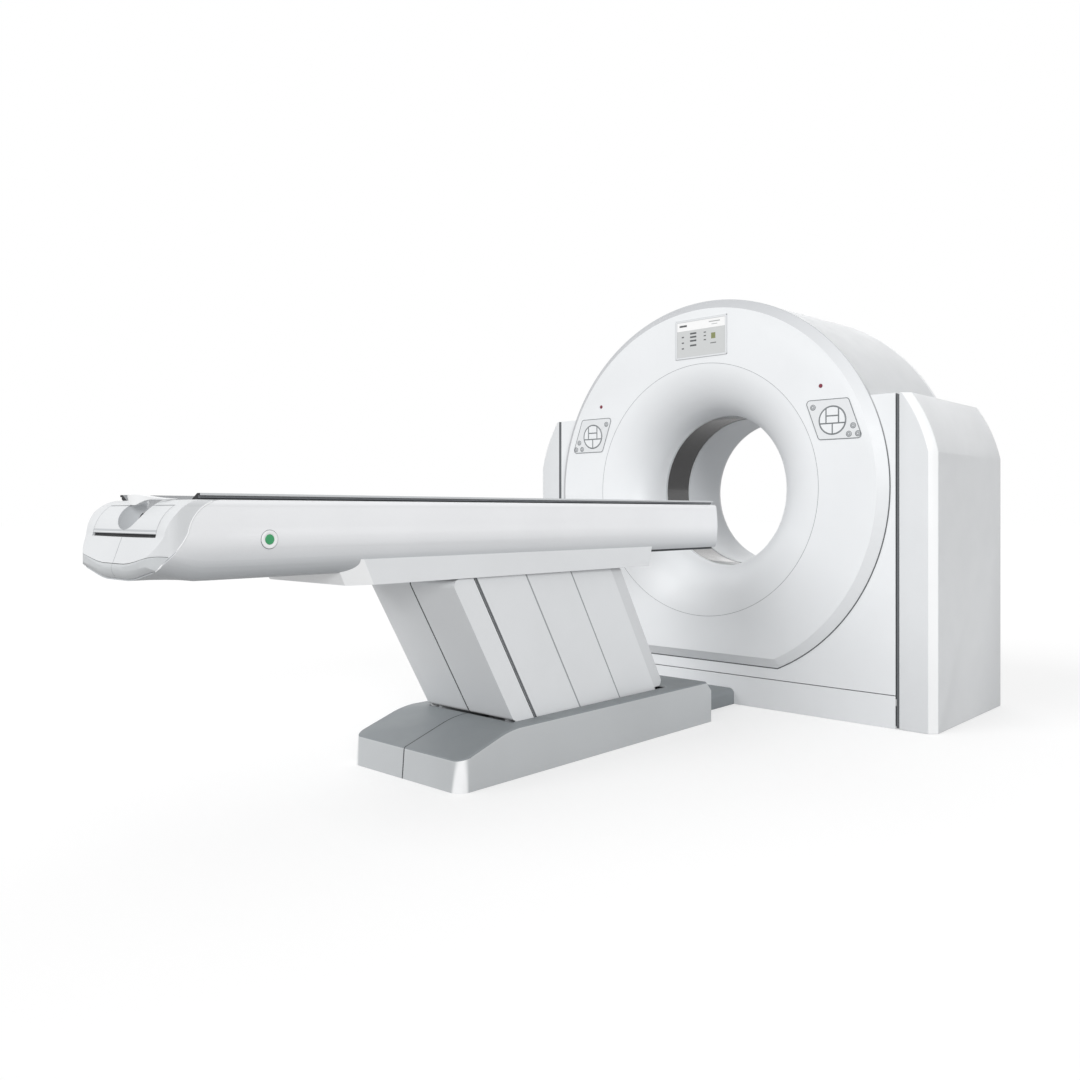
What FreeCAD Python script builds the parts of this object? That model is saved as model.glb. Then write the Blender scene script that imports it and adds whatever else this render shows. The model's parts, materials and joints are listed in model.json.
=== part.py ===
import FreeCAD, Part
import math
import os

V = FreeCAD.Vector
X, Y, Z = V(1, 0, 0), V(0, 1, 0), V(0, 0, 1)

# A computed-tomography scanner, in millimetres. X runs across, Y runs along the patient table towards the
# back of the gantry, Z is up and the floor is Z = 0. The origin lies on the floor under the middle of the
# whole machine. Depths are measured back from the gantry's front plane, reaches forward from it.

# Overall layout
FOOT_REACH = 2670.0         # foot end of the table, forward of the front plane
TOWER_DEPTH = 790.0
AXIS_Z = 951.0              # height of the bore's axis and of the tilt axis
SCAN_DEPTH = 292.0          # scan plane and tilt axis, behind the front plane
SKIN = 4.0                  # wall of the moulded covers
FIT = 0.3                   # gap between a cover and what seats in it
RUNNING = 0.1               # radial clearance of a shaft in its bearing

# Gantry: towers and the fixed covers between them
TOWER_TOP = 1317.0
TOWER_WIDTH = 140.0
TOWER_FLAT = 39.0           # flat strip on a tower's top, next to the groove
TOWER_SHOULDER_DROP = 236.0
TOWER_SHOULDER_BULGE = 12.0
TOWER_EDGE = 28.0           # chamfer round a tower's outer front and back edges
GROOVE = 15.0               # open slot between a tower and the tilting body
BASE_SEAM_GAP = 3.5         # slit between the tilting body and the fixed base covers

# Gantry: tilting body
CHEEK_HALF = 873.0          # half width of the tilting body between the towers
SWING_CLEAR = 3.0           # round underside about the tilt axis, in from the half width
REAR_DEPTH = 742.0
REAR_TRAY = 40.0
REAR_ROUNDING = 16.0
RIM_INSET = 22.0            # drum's front edge in from the half width
REAR_RIM_INSET = 2.0
FACE_PROUD = 37.0
FACE_BEVEL = 38.0           # width of the round cover's bevel
FACE_FLAT_CUT = 86.0        # flat bottom edge of the round cover's face, up from its circle
RIM_FLAT_CUT = 81.0

# Gantry: bore
BORE_RADIUS = 350.0
FUNNEL_INSET = 245.0        # funnel's outer edge in from the round cover's face edge
THROAT_DEPTH = 139.0
WINDOW_FRONT_DEPTH = 194.0
WINDOW_BACK_DEPTH = 390.0
LINER_BACK_DEPTH = 669.0
REAR_FLARE = 100.0
WINDOW_WALL = 2.0

# Gantry: controls on the round cover
PANEL_INSET = 179.0         # middle of a control panel in from the edge of the face
PANEL_RISE = 276.5
PANEL_WIDTH = 190.0
PANEL_HEIGHT = 166.0
PANEL_SLANT = 60.0
PANEL_CORNER = 16.0
PANEL_PROUD = 1.5
PANEL_BLOCK = 18.0
PAD_SHIFT = -4.0
PAD_RISE = 272.0
PAD_RADIUS = 56.0
KEY_GAP = 0.8
KEY_THICK = 5.0
KEY_PROUD = 1.2
KEY_TRAVEL = 2.0
KEY_COLUMN = 27.0
KEY_LINE_DROP = 12.5
KEY_BAR_RISE = 18.0
BUTTON_RADIUS = 9.0
BUTTONS = ((-89.0, 52.0), (84.0, -31.0), (66.0, -64.0), (104.0, -64.0))
LASER_INSET = 235.0
LASER_RISE = 416.0
LASER_RADIUS = 8.0
LASER_LENGTH = 12.0
DISPLAY_INSET = 127.5       # middle of the display down from the top of the face
DISPLAY_WIDTH = 272.0
DISPLAY_HEIGHT = 177.0
DISPLAY_BLOCK = 20.0
DISPLAY_PROUD = 2.5
DISPLAY_FRAME = 9.0
DISPLAY_SINK = 1.2

# Gantry: carrying parts
TRUNNION_RADIUS = 45.0
TRUNNION_HUB = 80.0
UPRIGHT_THICK = 50.0
UPRIGHT_HALF = 130.0
UPRIGHT_CROWN = 139.0
SILL_HEIGHT = 70.0
SILL_INSET = 32.0
CROSS_BEAM = 100.0
CROSS_HEIGHT = 60.0
BEAM_INSET = 46.0
CLEAT_X = 600.0             # blocks on the cross beams that hold the base covers
CLEAT_HALF = 30.0
ANCHOR_RADIUS = 11.0
ANCHOR_INSET = 45.0
DRIVE_HALF = 90.0
DRIVE_THICK = 66.0
MOTOR_RADIUS = 31.0
MOTOR_LENGTH = 260.0
FRAME_RING_RADIUS = 760.0
FRAME_RING_THICK = 30.0
FRAME_ARM = 50.0
FRAME_ARM_HALF = 110.0

# Gantry: rotor
ROTOR_RADIUS = 690.0
ROTOR_BORE = 370.0
ROTOR_PLATE_DEPTH = 400.0
ROTOR_PLATE = 25.0
ROTOR_COLLAR_RADIUS = 440.0
ROTOR_COLLAR_LENGTH = 73.0
COLLAR_OVERLAP = 28.0
FOCUS_RISE = 540.0          # x-ray focal spot from the axis
DETECTOR_DISTANCE = 950.0
DETECTOR_THICK = 50.0
FAN_HALF_ANGLE = 25.0
DETECTOR_HALF = 60.0
TUBE_RADIUS = 92.0
TUBE_LENGTH = 200.0
COLLIMATOR_HALF = 55.0
COLLIMATOR_DROP = 125.0
POWER_X = 535.0
POWER_WIDTH = 230.0
POWER_HEIGHT = 300.0
POWER_DEPTH = 170.0
COUNTERWEIGHT_WIDTH = 150.0
COUNTERWEIGHT_DEPTH = 60.0

# Table: plinth
PLINTH_HALF = 270.0
PLINTH_FOOT_REACH = 1751.0
PLINTH_LENGTH = 1377.0
PLINTH_TOP = 165.0
PLINTH_NOSE = 98.0          # height of its front face
PLINTH_SLOPE = 261.0        # length of the slope behind the front face
PLINTH_LEAN = 8.0
PLINTH_TAIL = 30.0
PLINTH_CORNER = 42.0
PLINTH_EDGE = 10.0
PLINTH_SEAM = 3.0
DUCT_HALF = 150.0
DUCT_HEIGHT = 70.0
DUCT_EDGE = 25.0

# Table: pedestal, a parallelogram of links and cover plates that lean towards the foot end
LEAN = 30.0                 # lean of the raised pedestal
SWING_DOWN = 43.0           # further lean of the lowered pedestal
COVER_SETBACK = 294.0       # foot face of the pedestal, where it meets the plinth's top
COVER_LENGTH = 865.0        # from there to its head face
COVER_HALF = 211.0
COVER_FACE = 5.0
COVER_WING = 82.0
REAR_WING = 50.0
COVER_SEAM = 4.0
NOSE_RADIUS = 20.0          # round end of a cover about its pivot
NOSE_CLEAR = 2.0
LIP_CLEAR = 4.0             # angle left free between a cover's lip and the plate behind it
SLAT_COUNT = 3
SLAT_START = 91.0           # first slat's edge behind the foot face, square to the lean
SLAT_WIDTH = 199.0
SLAT_SEAM = 2.6
SLAT_THICK = 4.0
SLAT_STEP = 5.5             # each slat lies this much further in than the one before
SLAT_STOWED_START = 0.0
SLAT_STOWED_STEP = 27.0
SLAT_TAIL = 50.0            # hidden end of a plate below the plinth's top
BRACKET_INNER = 176.0
BRACKET_THICK = 6.0
BRACKET_HUB = 14.0
STUD_START = 3.0
STUD_WIDTH = 18.0
PIN_RADIUS = 6.0
PIN_CLEAR = 0.2
LINK_X = 140.0
LINK_THICK = 20.0
LINK_HALF = 40.0
LINK_SHAFT = 18.0
LINK_FOOT_OFFSET = 200.0    # foot link's pivot behind the pedestal's foot face
LINK_HEAD_OFFSET = 600.0
CHEEK_PLATE_X = 165.0       # middle of the plates that carry the pivots
CHEEK_PLATE = 14.0
CHEEK_HUB = 14.0
FLOOR_PLATE = 10.0
TABLE_ANCHOR_X = 225.0
TABLE_ANCHOR_REACH = 540.0
GEARBOX_HALF = 50.0
LIFT_MOTOR_RADIUS = 40.0
LIFT_MOTOR_LENGTH = 200.0

# Table: carriage
SKIRT_BOTTOM = 645.0
SKIRT_TOP = 719.0
SKIRT_HALF = 224.0
SKIRT_FLARE = 14.0
SKIRT_OVERHANG = 652.0      # skirt's foot end beyond the pedestal's foot face
SKIRT_LENGTH = 1374.0
SKIRT_RAKE = 45.0
SKIRT_CORNER_X = 31.0
SKIRT_CORNER_Y = 76.0
SKIRT_FLOOR = 6.0
SKIRT_WALL = 12.0
BODY_HEAD_REACH = 280.0
BODY_HALF = 240.0
BODY_TOP = 880.0
BODY_BOTTOM = 680.0
BODY_HEAD_BOTTOM = 706.0
BODY_STEP_REACH = 1400.0
BODY_WALL = 5.0
BELLY_RISE = 58.0           # height and width of the turn from the body's side to its bottom
SHOULDER_ROUND = 17.0
CHANNEL_HALF = 216.0
CHANNEL_FLOOR = 800.0
FOOT_GAP = 1.5
SEAM_LOW_IN, SEAM_TOP_IN = 15.0, 176.0      # ends of the foot cap's curved seam, in from the foot end
SEAM_BELLY_IN, SEAM_BELLY_Z = 45.0, 732.0   # its lower bend
SEAM_MIDDLE_IN, SEAM_MIDDLE_Z = 80.0, 800.0
SEAM_NECK_IN, SEAM_NECK_Z = 112.0, 856.0    # its upper bend
CHIN_IN, CHIN_RISE = 35.0, 34.0             # round lower edge of the foot end
CHIN_TURN_IN, CHIN_TURN_RISE = 9.0, 10.0    # a point on it, halfway round
BUMPER_LEAN = 4.0
CAP_LIP_IN, CAP_LIP_Z = 28.0, 791.0         # foot cap's crease above the slot
CAP_BROW_IN, CAP_BROW_Z = 54.0, 848.0       # middle of the round brow above the crease
CAP_CROWN_IN = 110.0
FOOT_CORNER = 78.0
FOOT_BOW = 3.0              # sagging of the foot end's round front, seen from above
BUMPER_TOP = 722.0
HATCH_HALF = 180.0
HATCH_THICK = 6.0
HATCH_LOW, HATCH_HIGH = 796.0, 866.0
SLOT_HEIGHT = 9.0
SCOOP_RADIUS = 62.0
GREEN_IN = 296.0            # button's place behind the foot end
GREEN_Z = 780.0
GREEN_RADIUS = 13.0
GREEN_TRAVEL = 3.0
GREEN_DEEP = 12.0
BEZEL_RADIUS = 22.0
BEZEL_PROUD = 1.5

# Table: cradle
CRADLE_IN = 118.0           # cradle's foot edge behind the foot end
CRADLE_HEAD_REACH = 285.0
CRADLE_HALF = 222.0
CRADLE_TOP = 896.0
CRADLE_RIM = 6.0
CRADLE_WEB_HALF = 213.0
CRADLE_SAG = 58.0
CRADLE_THICK = 12.0
RUNNER_X = 80.0
RUNNER_WIDTH = 30.0
HANDLE_DEPTH = 76.0
HANDLE_HALF = 95.0
HANDLE_WIDTH = 26.0
HANDLE_THICK = 10.0

# Places that follow from the driving dimensions
FRONT = (FOOT_REACH - TOWER_DEPTH) / 2
FOOT_Y = FRONT - FOOT_REACH
PLINTH_HEAD_REACH = PLINTH_FOOT_REACH - PLINTH_LENGTH
COVER_FOOT_REACH = PLINTH_FOOT_REACH - COVER_SETBACK
SKIRT_FOOT_REACH = COVER_FOOT_REACH + SKIRT_OVERHANG
SKIRT_HEAD_REACH = SKIRT_FOOT_REACH - SKIRT_LENGTH
CRADLE_FOOT_Y = FOOT_Y + CRADLE_IN
CARRIAGE_PLATE_TOP = CHANNEL_FLOOR - BODY_WALL
SCAN_Y = FRONT + SCAN_DEPTH
SWING_RADIUS = CHEEK_HALF - SWING_CLEAR
RIM_RADIUS = CHEEK_HALF - RIM_INSET
REAR_RIM_RADIUS = CHEEK_HALF - REAR_RIM_INSET
FACE_RADIUS = RIM_RADIUS - FACE_BEVEL
FACE_FLAT_DROP = FACE_RADIUS - FACE_FLAT_CUT
RIM_FLAT_DROP = RIM_RADIUS - RIM_FLAT_CUT
SEAM_RADIUS = FACE_RADIUS - FUNNEL_INSET
PANEL_X = FACE_RADIUS - PANEL_INSET
LASER_X = FACE_RADIUS - LASER_INSET
DISPLAY_RISE = FACE_RADIUS - DISPLAY_INSET
TOWER_INNER = CHEEK_HALF + GROOVE
TOWER_OUTER = TOWER_INNER + TOWER_WIDTH
PIVOT_RISE = NOSE_RADIUS + NOSE_CLEAR
PIVOT_Z = PLINTH_TOP + PIVOT_RISE
LEAN_COS, LEAN_SIN = math.cos(math.radians(LEAN)), math.sin(math.radians(LEAN))
LOW_COS = math.cos(math.radians(LEAN + SWING_DOWN))
ALONG = V(0, -LEAN_SIN, LEAN_COS)       # up the raised pedestal
SQUARE = V(0, LEAN_COS, LEAN_SIN)       # square to it, towards the gantry
LINK_LENGTH = (SKIRT_BOTTOM - PIVOT_RISE - PIVOT_Z) / LEAN_COS
UPPER = ALONG * LINK_LENGTH
FACE_FOOT_Y = FRONT - COVER_FOOT_REACH - PIVOT_RISE * LEAN_SIN / LEAN_COS


def at(reach, z=0.0, x=0.0):
    """A point forward of the gantry's front plane by reach."""
    return V(x, FRONT - reach, z)


def box(x, y, z):
    """A box between pairs of limits."""
    size = [high - low for low, high in (x, y, z)]
    return Part.makeBox(size[0], size[1], size[2], V(x[0], y[0], z[0]))


def rod(radius, start, end):
    """A round bar from one point to another."""
    along = end - start
    return Part.makeCylinder(radius, along.Length, start, along)


def fuse(shapes):
    return shapes[0].multiFuse(shapes[1:]).removeSplitter() if len(shapes) > 1 else shapes[0]


def mirror(shape):
    """The same piece on the other side of the machine."""
    return shape.mirror(V(0, 0, 0), X)


def outline(start, steps):
    """A closed wire: a step is a point, or a middle and an end point of an arc."""
    edges, here = [], start
    for step in steps:
        if isinstance(step, tuple):
            edges.append(Part.Arc(here, step[0], step[1]).toShape())
            here = step[1]
        else:
            edges.append(Part.LineSegment(here, step).toShape())
            here = step
    if (here - start).Length > 1e-6:
        edges.append(Part.LineSegment(here, start).toShape())
    return Part.Wire(edges)


def symmetric(start, steps):
    """A closed wire from its right half's start and steps, carried across and back down mirrored."""
    def flip(p):
        return V(-p.x, p.y, p.z)
    ends = [start] + [s[1] if isinstance(s, tuple) else s for s in steps]
    back = [(flip(s[0]), flip(end)) if isinstance(s, tuple) else flip(end)
            for s, end in zip(reversed(steps), reversed(ends[:-1]))]
    return outline(start, steps + [flip(ends[-1])] + back)


def extrude(wire, along):
    return Part.Face(wire).extrude(along)


def side_prism(points, low, high):
    """A prism across the machine from (y, z) points, which may hold arcs as pairs of pairs."""
    def place(p):
        return tuple(V(low, y, z) for y, z in p) if isinstance(p[0], tuple) else V(low, p[0], p[1])
    steps = [place(p) for p in points]
    return extrude(outline(steps[0], steps[1:]), X * (high - low))


def disc(radius, low, high):
    """A round block about the bore's axis between two depths."""
    middle = V(0, FRONT, AXIS_Z)
    return rod(radius, middle + Y * low, middle + Y * high)


def ring(outer, inner, low, high):
    """A ring about the bore's axis between two depths."""
    return disc(outer, low, high).cut(disc(inner, low - 1, high + 1))


def turned(edges):
    """A solid of revolution about the bore's axis from a profile in the plane X, Y at the axis's height."""
    face = Part.Face(Part.Wire(Part.__sortEdges__(edges)))
    return face.revolve(V(0, 0, AXIS_Z), Y, 360)


def flare(start, corner, end):
    """A quarter of an ellipse, tangent to its two end directions at the corner point."""
    curve = Part.BezierCurve()
    curve.setPoles([start, corner, end])
    curve.setWeight(2, math.sqrt(0.5))
    return curve.toShape()


def faceted(start, corner, end, sides):
    """The same quarter in straight runs, for a side that nobody sees."""
    turn = [math.radians(90 * i / sides) for i in range(sides + 1)]
    heel = start + end - corner
    points = [heel + (corner - end) * math.cos(a) + (corner - start) * math.sin(a) for a in turn]
    return [Part.LineSegment(a, b).toShape() for a, b in zip(points, points[1:])]


def radial(radius, depth):
    return V(radius, FRONT + depth, AXIS_Z)


def rounded(shape, radius, wanted):
    """The shape with the wanted edges filleted."""
    return shape.makeFillet(radius, [e for e in shape.Edges if wanted(e)])


def spans(edge, axis):
    """The length of an edge's box along X, Y or Z (0, 1 or 2)."""
    b = edge.BoundBox
    return (b.XLength, b.YLength, b.ZLength)[axis]


def along(edge, axis):
    """True for a straight edge that runs along one axis alone."""
    return spans(edge, axis) > 1 and all(spans(edge, other) < 0.01 for other in range(3) if other != axis)


# ---------------------------------------------------------------- gantry, fixed

def swing_bottom(depth):
    """Height of the tilting body's round underside at a depth."""
    return AXIS_Z - math.sqrt(SWING_RADIUS ** 2 - (depth - SCAN_DEPTH) ** 2)


def tower_wire(inset, shrink, y):
    """One tower's section across: flat top, bulging shoulder, upright side, moved in on its outer side."""
    left, right = TOWER_INNER + inset, TOWER_OUTER - inset
    flat, top = TOWER_INNER + TOWER_FLAT, TOWER_TOP - inset
    across, drop = right - flat, TOWER_SHOULDER_DROP - inset
    slant = math.hypot(across, drop)
    shoulder = top - drop
    bulge = V((flat + right) / 2 + TOWER_SHOULDER_BULGE - shrink * drop / slant, y,
              (top + shoulder + TOWER_SHOULDER_BULGE) / 2 - shrink * across / slant)
    low = 0 if inset == 0 else -1
    return outline(V(left, y, low), [V(left, y, top), V(flat - shrink * slant / drop, y, top),
                                     (bulge, V(right - shrink, y, shoulder)), V(right - shrink, y, low)])


def tower_block(inset):
    """One tower's outer form with its chamfered edges, or the space inside its wall."""
    front, back = FRONT + inset, FRONT + TOWER_DEPTH - inset
    middle = extrude(tower_wire(inset, 0, front + TOWER_EDGE), Y * (back - front - 2 * TOWER_EDGE))
    ends = [Part.makeLoft([tower_wire(inset, TOWER_EDGE, end), tower_wire(inset, 0, towards)], True, True)
            for end, towards in ((front, front + TOWER_EDGE), (back, back - TOWER_EDGE))]
    return fuse([middle] + ends)


def beam_spans():
    """Limits along Y of the two beams that tie the stand together across the machine."""
    front, back = FRONT + SKIN + BEAM_INSET, FRONT + REAR_DEPTH - SKIN - BEAM_INSET
    return (front, front + CROSS_BEAM), (back - CROSS_BEAM, back)


def tower_cover():
    """One tower's hollow cover, open inwards for the trunnion and for the stand's beams."""
    middle = V(TOWER_INNER, SCAN_Y, AXIS_Z)
    cover = tower_block(0).cut(tower_block(SKIN))
    cover = cover.cut(rod(TRUNNION_RADIUS + SKIN, middle - X, middle + X * 2 * SKIN))
    for low, high in beam_spans():
        cover = cover.cut(box((TOWER_INNER - 1, TOWER_INNER + SKIN + 1), (low - SKIN, high + SKIN),
                              (-1, CROSS_HEIGHT + SKIN)))
    return cover


def gantry_stand():
    """Sills on the floor, two cross beams below the swinging body with cleats for the base covers, and an
    upright in each tower."""
    inner, outer = TOWER_INNER + 2 * SKIN, TOWER_OUTER - 2 * SKIN
    y0, y1 = FRONT + SILL_INSET, FRONT + TOWER_DEPTH - SILL_INSET
    sill = box((inner, TOWER_OUTER - SKIN), (y0, y1), (0, SILL_HEIGHT))
    crown = AXIS_Z + UPRIGHT_CROWN
    upright = side_prism([(y0 + 2 * SILL_INSET, SILL_HEIGHT), (SCAN_Y - UPRIGHT_HALF, AXIS_Z),
                          ((SCAN_Y, crown), (SCAN_Y + UPRIGHT_HALF, AXIS_Z)),
                          (y1 - 2 * SILL_INSET, SILL_HEIGHT)], inner, inner + UPRIGHT_THICK)
    half = fuse([sill, upright]).cut(
        rod(TRUNNION_RADIUS + RUNNING, V(inner - 1, SCAN_Y, AXIS_Z), V(outer, SCAN_Y, AXIS_Z)))
    middle = (inner + UPRIGHT_THICK + outer) / 2
    for y in (y0 + ANCHOR_INSET, y1 - ANCHOR_INSET):
        half = half.cut(rod(ANCHOR_RADIUS, V(middle, y, -1), V(middle, y, SILL_HEIGHT + 1)))
    front, rear = beam_spans()
    beams = [box((-inner, inner), span, (0, CROSS_HEIGHT)) for span in (front, rear)]
    cleats = [box((x - CLEAT_HALF, x + CLEAT_HALF), span, (CROSS_HEIGHT / 3, CROSS_HEIGHT))
              for x in (-CLEAT_X, CLEAT_X)
              for span in ((front[0] - BEAM_INSET, front[0]), (rear[1], rear[1] + BEAM_INSET))]
    return fuse([half, mirror(half)] + beams + cleats)


def base_cover(depth, seam_depth):
    """A thin fixed skin between the towers, up to the slit under the tilting body."""
    return box((-CHEEK_HALF, CHEEK_HALF), (FRONT + depth, FRONT + depth + SKIN),
               (0, swing_bottom(seam_depth) - BASE_SEAM_GAP))


def tilt_drive():
    """Worm gearbox on the right trunnion, with its motor hanging below."""
    face = TOWER_INNER + 2 * SKIN + UPRIGHT_THICK
    case = box((face, face + DRIVE_THICK), (SCAN_Y - DRIVE_HALF, SCAN_Y + DRIVE_HALF),
               (AXIS_Z - DRIVE_HALF, AXIS_Z + DRIVE_HALF))
    case = rounded(case, DRIVE_HALF / 4, lambda e: along(e, 0))
    bearing = V(face, SCAN_Y, AXIS_Z)
    neck = bearing + X * (DRIVE_THICK / 2) - Z * DRIVE_HALF
    motor = rod(MOTOR_RADIUS, neck - Z * MOTOR_LENGTH, neck)
    hole = rod(TRUNNION_RADIUS + FIT, bearing - X, bearing + X * (DRIVE_THICK / 2 + FIT))
    return fuse([case, motor]).cut(hole)


# ---------------------------------------------------------------- gantry, tilting body

def tilting_form(inset, low, high):
    """The tilting casing's outer form between two depths, with its walls moved in by inset."""
    def rim(depth):
        return RIM_RADIUS + (REAR_RIM_RADIUS - RIM_RADIUS) * depth / REAR_DEPTH - inset
    drum = Part.makeCone(rim(low), rim(high), high - low, V(0, FRONT + low, AXIS_Z), Y)
    half = CHEEK_HALF - inset
    cheeks = box((-half, half), (FRONT + low, FRONT + high), (0, TOWER_TOP - inset))
    reach = SWING_RADIUS - inset
    swing = rod(reach, V(-CHEEK_HALF, SCAN_Y, AXIS_Z), V(CHEEK_HALF, SCAN_Y, AXIS_Z))
    above = box((-CHEEK_HALF, CHEEK_HALF), (SCAN_Y - reach, SCAN_Y + reach),
                (AXIS_Z, AXIS_Z + 2 * RIM_RADIUS))
    return fuse([drum, cheeks]).common(fuse([swing, above]))


def drum_casing():
    """The tilting body's outer wall, with a hole on each side for a trunnion."""
    back = REAR_DEPTH - REAR_TRAY
    shell = tilting_form(0, SKIN, back).cut(tilting_form(SKIN, SKIN - 1, back + 1))
    return shell.cut(rod(TRUNNION_RADIUS + FIT, V(-TOWER_OUTER, SCAN_Y, AXIS_Z),
                         V(TOWER_OUTER, SCAN_Y, AXIS_Z)))


def front_panel():
    return tilting_form(0, 0, SKIN).cut(disc(SEAM_RADIUS - SKIN, -1, SKIN + 1))


def flat_disc(radius, drop, depth):
    """A circle with a flat bottom, as a wire at a depth."""
    half = math.sqrt(radius ** 2 - drop ** 2)
    y = FRONT + depth
    foot = AXIS_Z - drop
    return outline(V(-half, y, foot), [(V(0, y, AXIS_Z + radius), V(half, y, foot))])


def disc_block(inset):
    """The round cover's bevelled block, or the space behind its wall."""
    rim = flat_disc(RIM_RADIUS - inset, RIM_FLAT_DROP - inset, 0)
    face = flat_disc(FACE_RADIUS - inset, FACE_FLAT_DROP - inset, inset - FACE_PROUD)
    return Part.makeLoft([rim, face], True, True)


def panel_form(grow, low, high):
    """The right control panel's slanting outline with round corners."""
    middle = V(PANEL_X, FRONT - FACE_PROUD + low, AXIS_Z + PANEL_RISE)
    wide = PANEL_WIDTH / 2 + grow * math.hypot(PANEL_SLANT, PANEL_HEIGHT) / PANEL_HEIGHT
    tall = PANEL_HEIGHT / 2 + grow
    slant = tall * PANEL_SLANT / PANEL_HEIGHT
    corners = [V(-wide - slant, 0, tall), V(wide - slant, 0, tall), V(wide + slant, 0, -tall),
               V(-wide + slant, 0, -tall)]
    steps = [middle + c for c in corners]
    block = extrude(outline(steps[0], steps[1:]), Y * (high - low))
    return rounded(block, PANEL_CORNER, lambda e: along(e, 1))


def display_form(grow, low, high):
    y = FRONT - FACE_PROUD
    wide, tall = DISPLAY_WIDTH / 2 + grow, DISPLAY_HEIGHT / 2 + grow
    z = AXIS_Z + DISPLAY_RISE
    return box((-wide, wide), (y + low, y + high), (z - tall, z + tall))


def laser_rod(radius, x, low, high):
    y = FRONT - FACE_PROUD
    z = AXIS_Z + LASER_RISE
    return rod(radius, V(x, y + low, z), V(x, y + high, z))


def front_cover():
    """The round bevelled cover, open for the funnel, the control panels, the display and the lasers."""
    cover = disc_block(0).cut(disc_block(SKIN))
    cover = cover.cut(disc(SEAM_RADIUS + FIT, -FACE_PROUD - 1, 1))
    opening = panel_form(FIT, -SKIN, 2 * SKIN)
    cover = cover.cut(opening).cut(mirror(opening)).cut(display_form(FIT, -SKIN, 2 * SKIN))
    for x in (LASER_X, -LASER_X):
        cover = cover.cut(laser_rod(LASER_RADIUS + FIT, x, -SKIN, 2 * SKIN))
    return cover


def bore_funnel():
    """Front funnel that rolls from the cover's face into the bore, with the short sleeve to the window."""
    face = -FACE_PROUD
    inner, outer = BORE_RADIUS, BORE_RADIUS + SKIN
    mouth = radial(SEAM_RADIUS, face)
    back = radial(SEAM_RADIUS, face + SKIN)
    edges = [flare(mouth, radial(inner, face), radial(inner, THROAT_DEPTH)),
             Part.LineSegment(radial(inner, THROAT_DEPTH), radial(inner, WINDOW_FRONT_DEPTH)).toShape(),
             Part.LineSegment(radial(inner, WINDOW_FRONT_DEPTH), radial(outer, WINDOW_FRONT_DEPTH)).toShape(),
             Part.LineSegment(radial(outer, WINDOW_FRONT_DEPTH), radial(outer, THROAT_DEPTH)).toShape(),
             Part.LineSegment(back, mouth).toShape()]
    return turned(edges + faceted(radial(outer, THROAT_DEPTH), radial(outer, face + SKIN), back, 3))


def rear_cover():
    """Shallow tray that closes the casing, rolling forward into the bore's rear mouth."""
    low = REAR_DEPTH - REAR_TRAY
    tray = tilting_form(0, low, REAR_DEPTH)
    tray = rounded(tray, REAR_ROUNDING, lambda e: abs(e.BoundBox.YMin - FRONT - REAR_DEPTH) < 0.1
                   and e.BoundBox.YLength < 0.1)
    tray = tray.cut(tilting_form(SKIN + REAR_ROUNDING / 4, low - 1, REAR_DEPTH - SKIN))
    mouth_radius = BORE_RADIUS + REAR_FLARE
    tray = tray.cut(disc(mouth_radius, low - 1, REAR_DEPTH + 1))
    inner, outer = BORE_RADIUS, BORE_RADIUS + SKIN
    mouth, back = radial(mouth_radius, REAR_DEPTH), radial(mouth_radius, REAR_DEPTH - SKIN)
    start, wall = radial(inner, LINER_BACK_DEPTH), radial(outer, LINER_BACK_DEPTH)
    edges = [flare(start, radial(inner, REAR_DEPTH), mouth), Part.LineSegment(mouth, back).toShape(),
             Part.LineSegment(wall, start).toShape()]
    lip = turned(edges + faceted(back, radial(outer, REAR_DEPTH - SKIN), wall, 3))
    return fuse([tray, lip])


def tilt_frame():
    """Main bearing ring with an arm and a trunnion on each side."""
    depth = ROTOR_PLATE_DEPTH + ROTOR_PLATE + ROTOR_COLLAR_LENGTH - COLLAR_OVERLAP
    plate = ring(FRAME_RING_RADIUS, ROTOR_COLLAR_RADIUS + FIT, depth, depth + FRAME_RING_THICK)
    inner = FRAME_RING_RADIUS - FRAME_ARM + 10
    hub_end = TOWER_INNER - GROOVE - SKIN - 2 * BASE_SEAM_GAP
    arm = box((inner, inner + FRAME_ARM), (SCAN_Y - FRAME_ARM_HALF, FRONT + depth + FRAME_RING_THICK),
              (AXIS_Z - FRAME_ARM_HALF, AXIS_Z + FRAME_ARM_HALF))
    hub = rod(TRUNNION_HUB, V(inner, SCAN_Y, AXIS_Z), V(hub_end, SCAN_Y, AXIS_Z))
    end = TOWER_INNER + 2 * SKIN + UPRIGHT_THICK + DRIVE_THICK / 2
    journal = rod(TRUNNION_RADIUS, V(inner, SCAN_Y, AXIS_Z), V(end, SCAN_Y, AXIS_Z))
    side = fuse([arm, hub, journal])
    return fuse([plate, side, mirror(side)])


def control_panel():
    """The right control panel: a block behind the cover's face with a round well for its six keys."""
    block = panel_form(0, -PANEL_PROUD, PANEL_BLOCK)
    face = FRONT - FACE_PROUD
    z = AXIS_Z + PAD_RISE
    x = PANEL_X + PAD_SHIFT
    well = rod(PAD_RADIUS + KEY_GAP, V(x, face - 2 * PANEL_PROUD, z),
               V(x, face - KEY_PROUD - PANEL_PROUD + KEY_THICK + KEY_TRAVEL + FIT, z))
    block = block.cut(well)
    for dx, dz in BUTTONS:
        spot = V(PANEL_X + dx, face, AXIS_Z + PANEL_RISE + dz)
        block = block.fuse(rod(BUTTON_RADIUS, spot - Y * (PANEL_PROUD + KEY_PROUD), spot))
    return block.removeSplitter()


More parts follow.
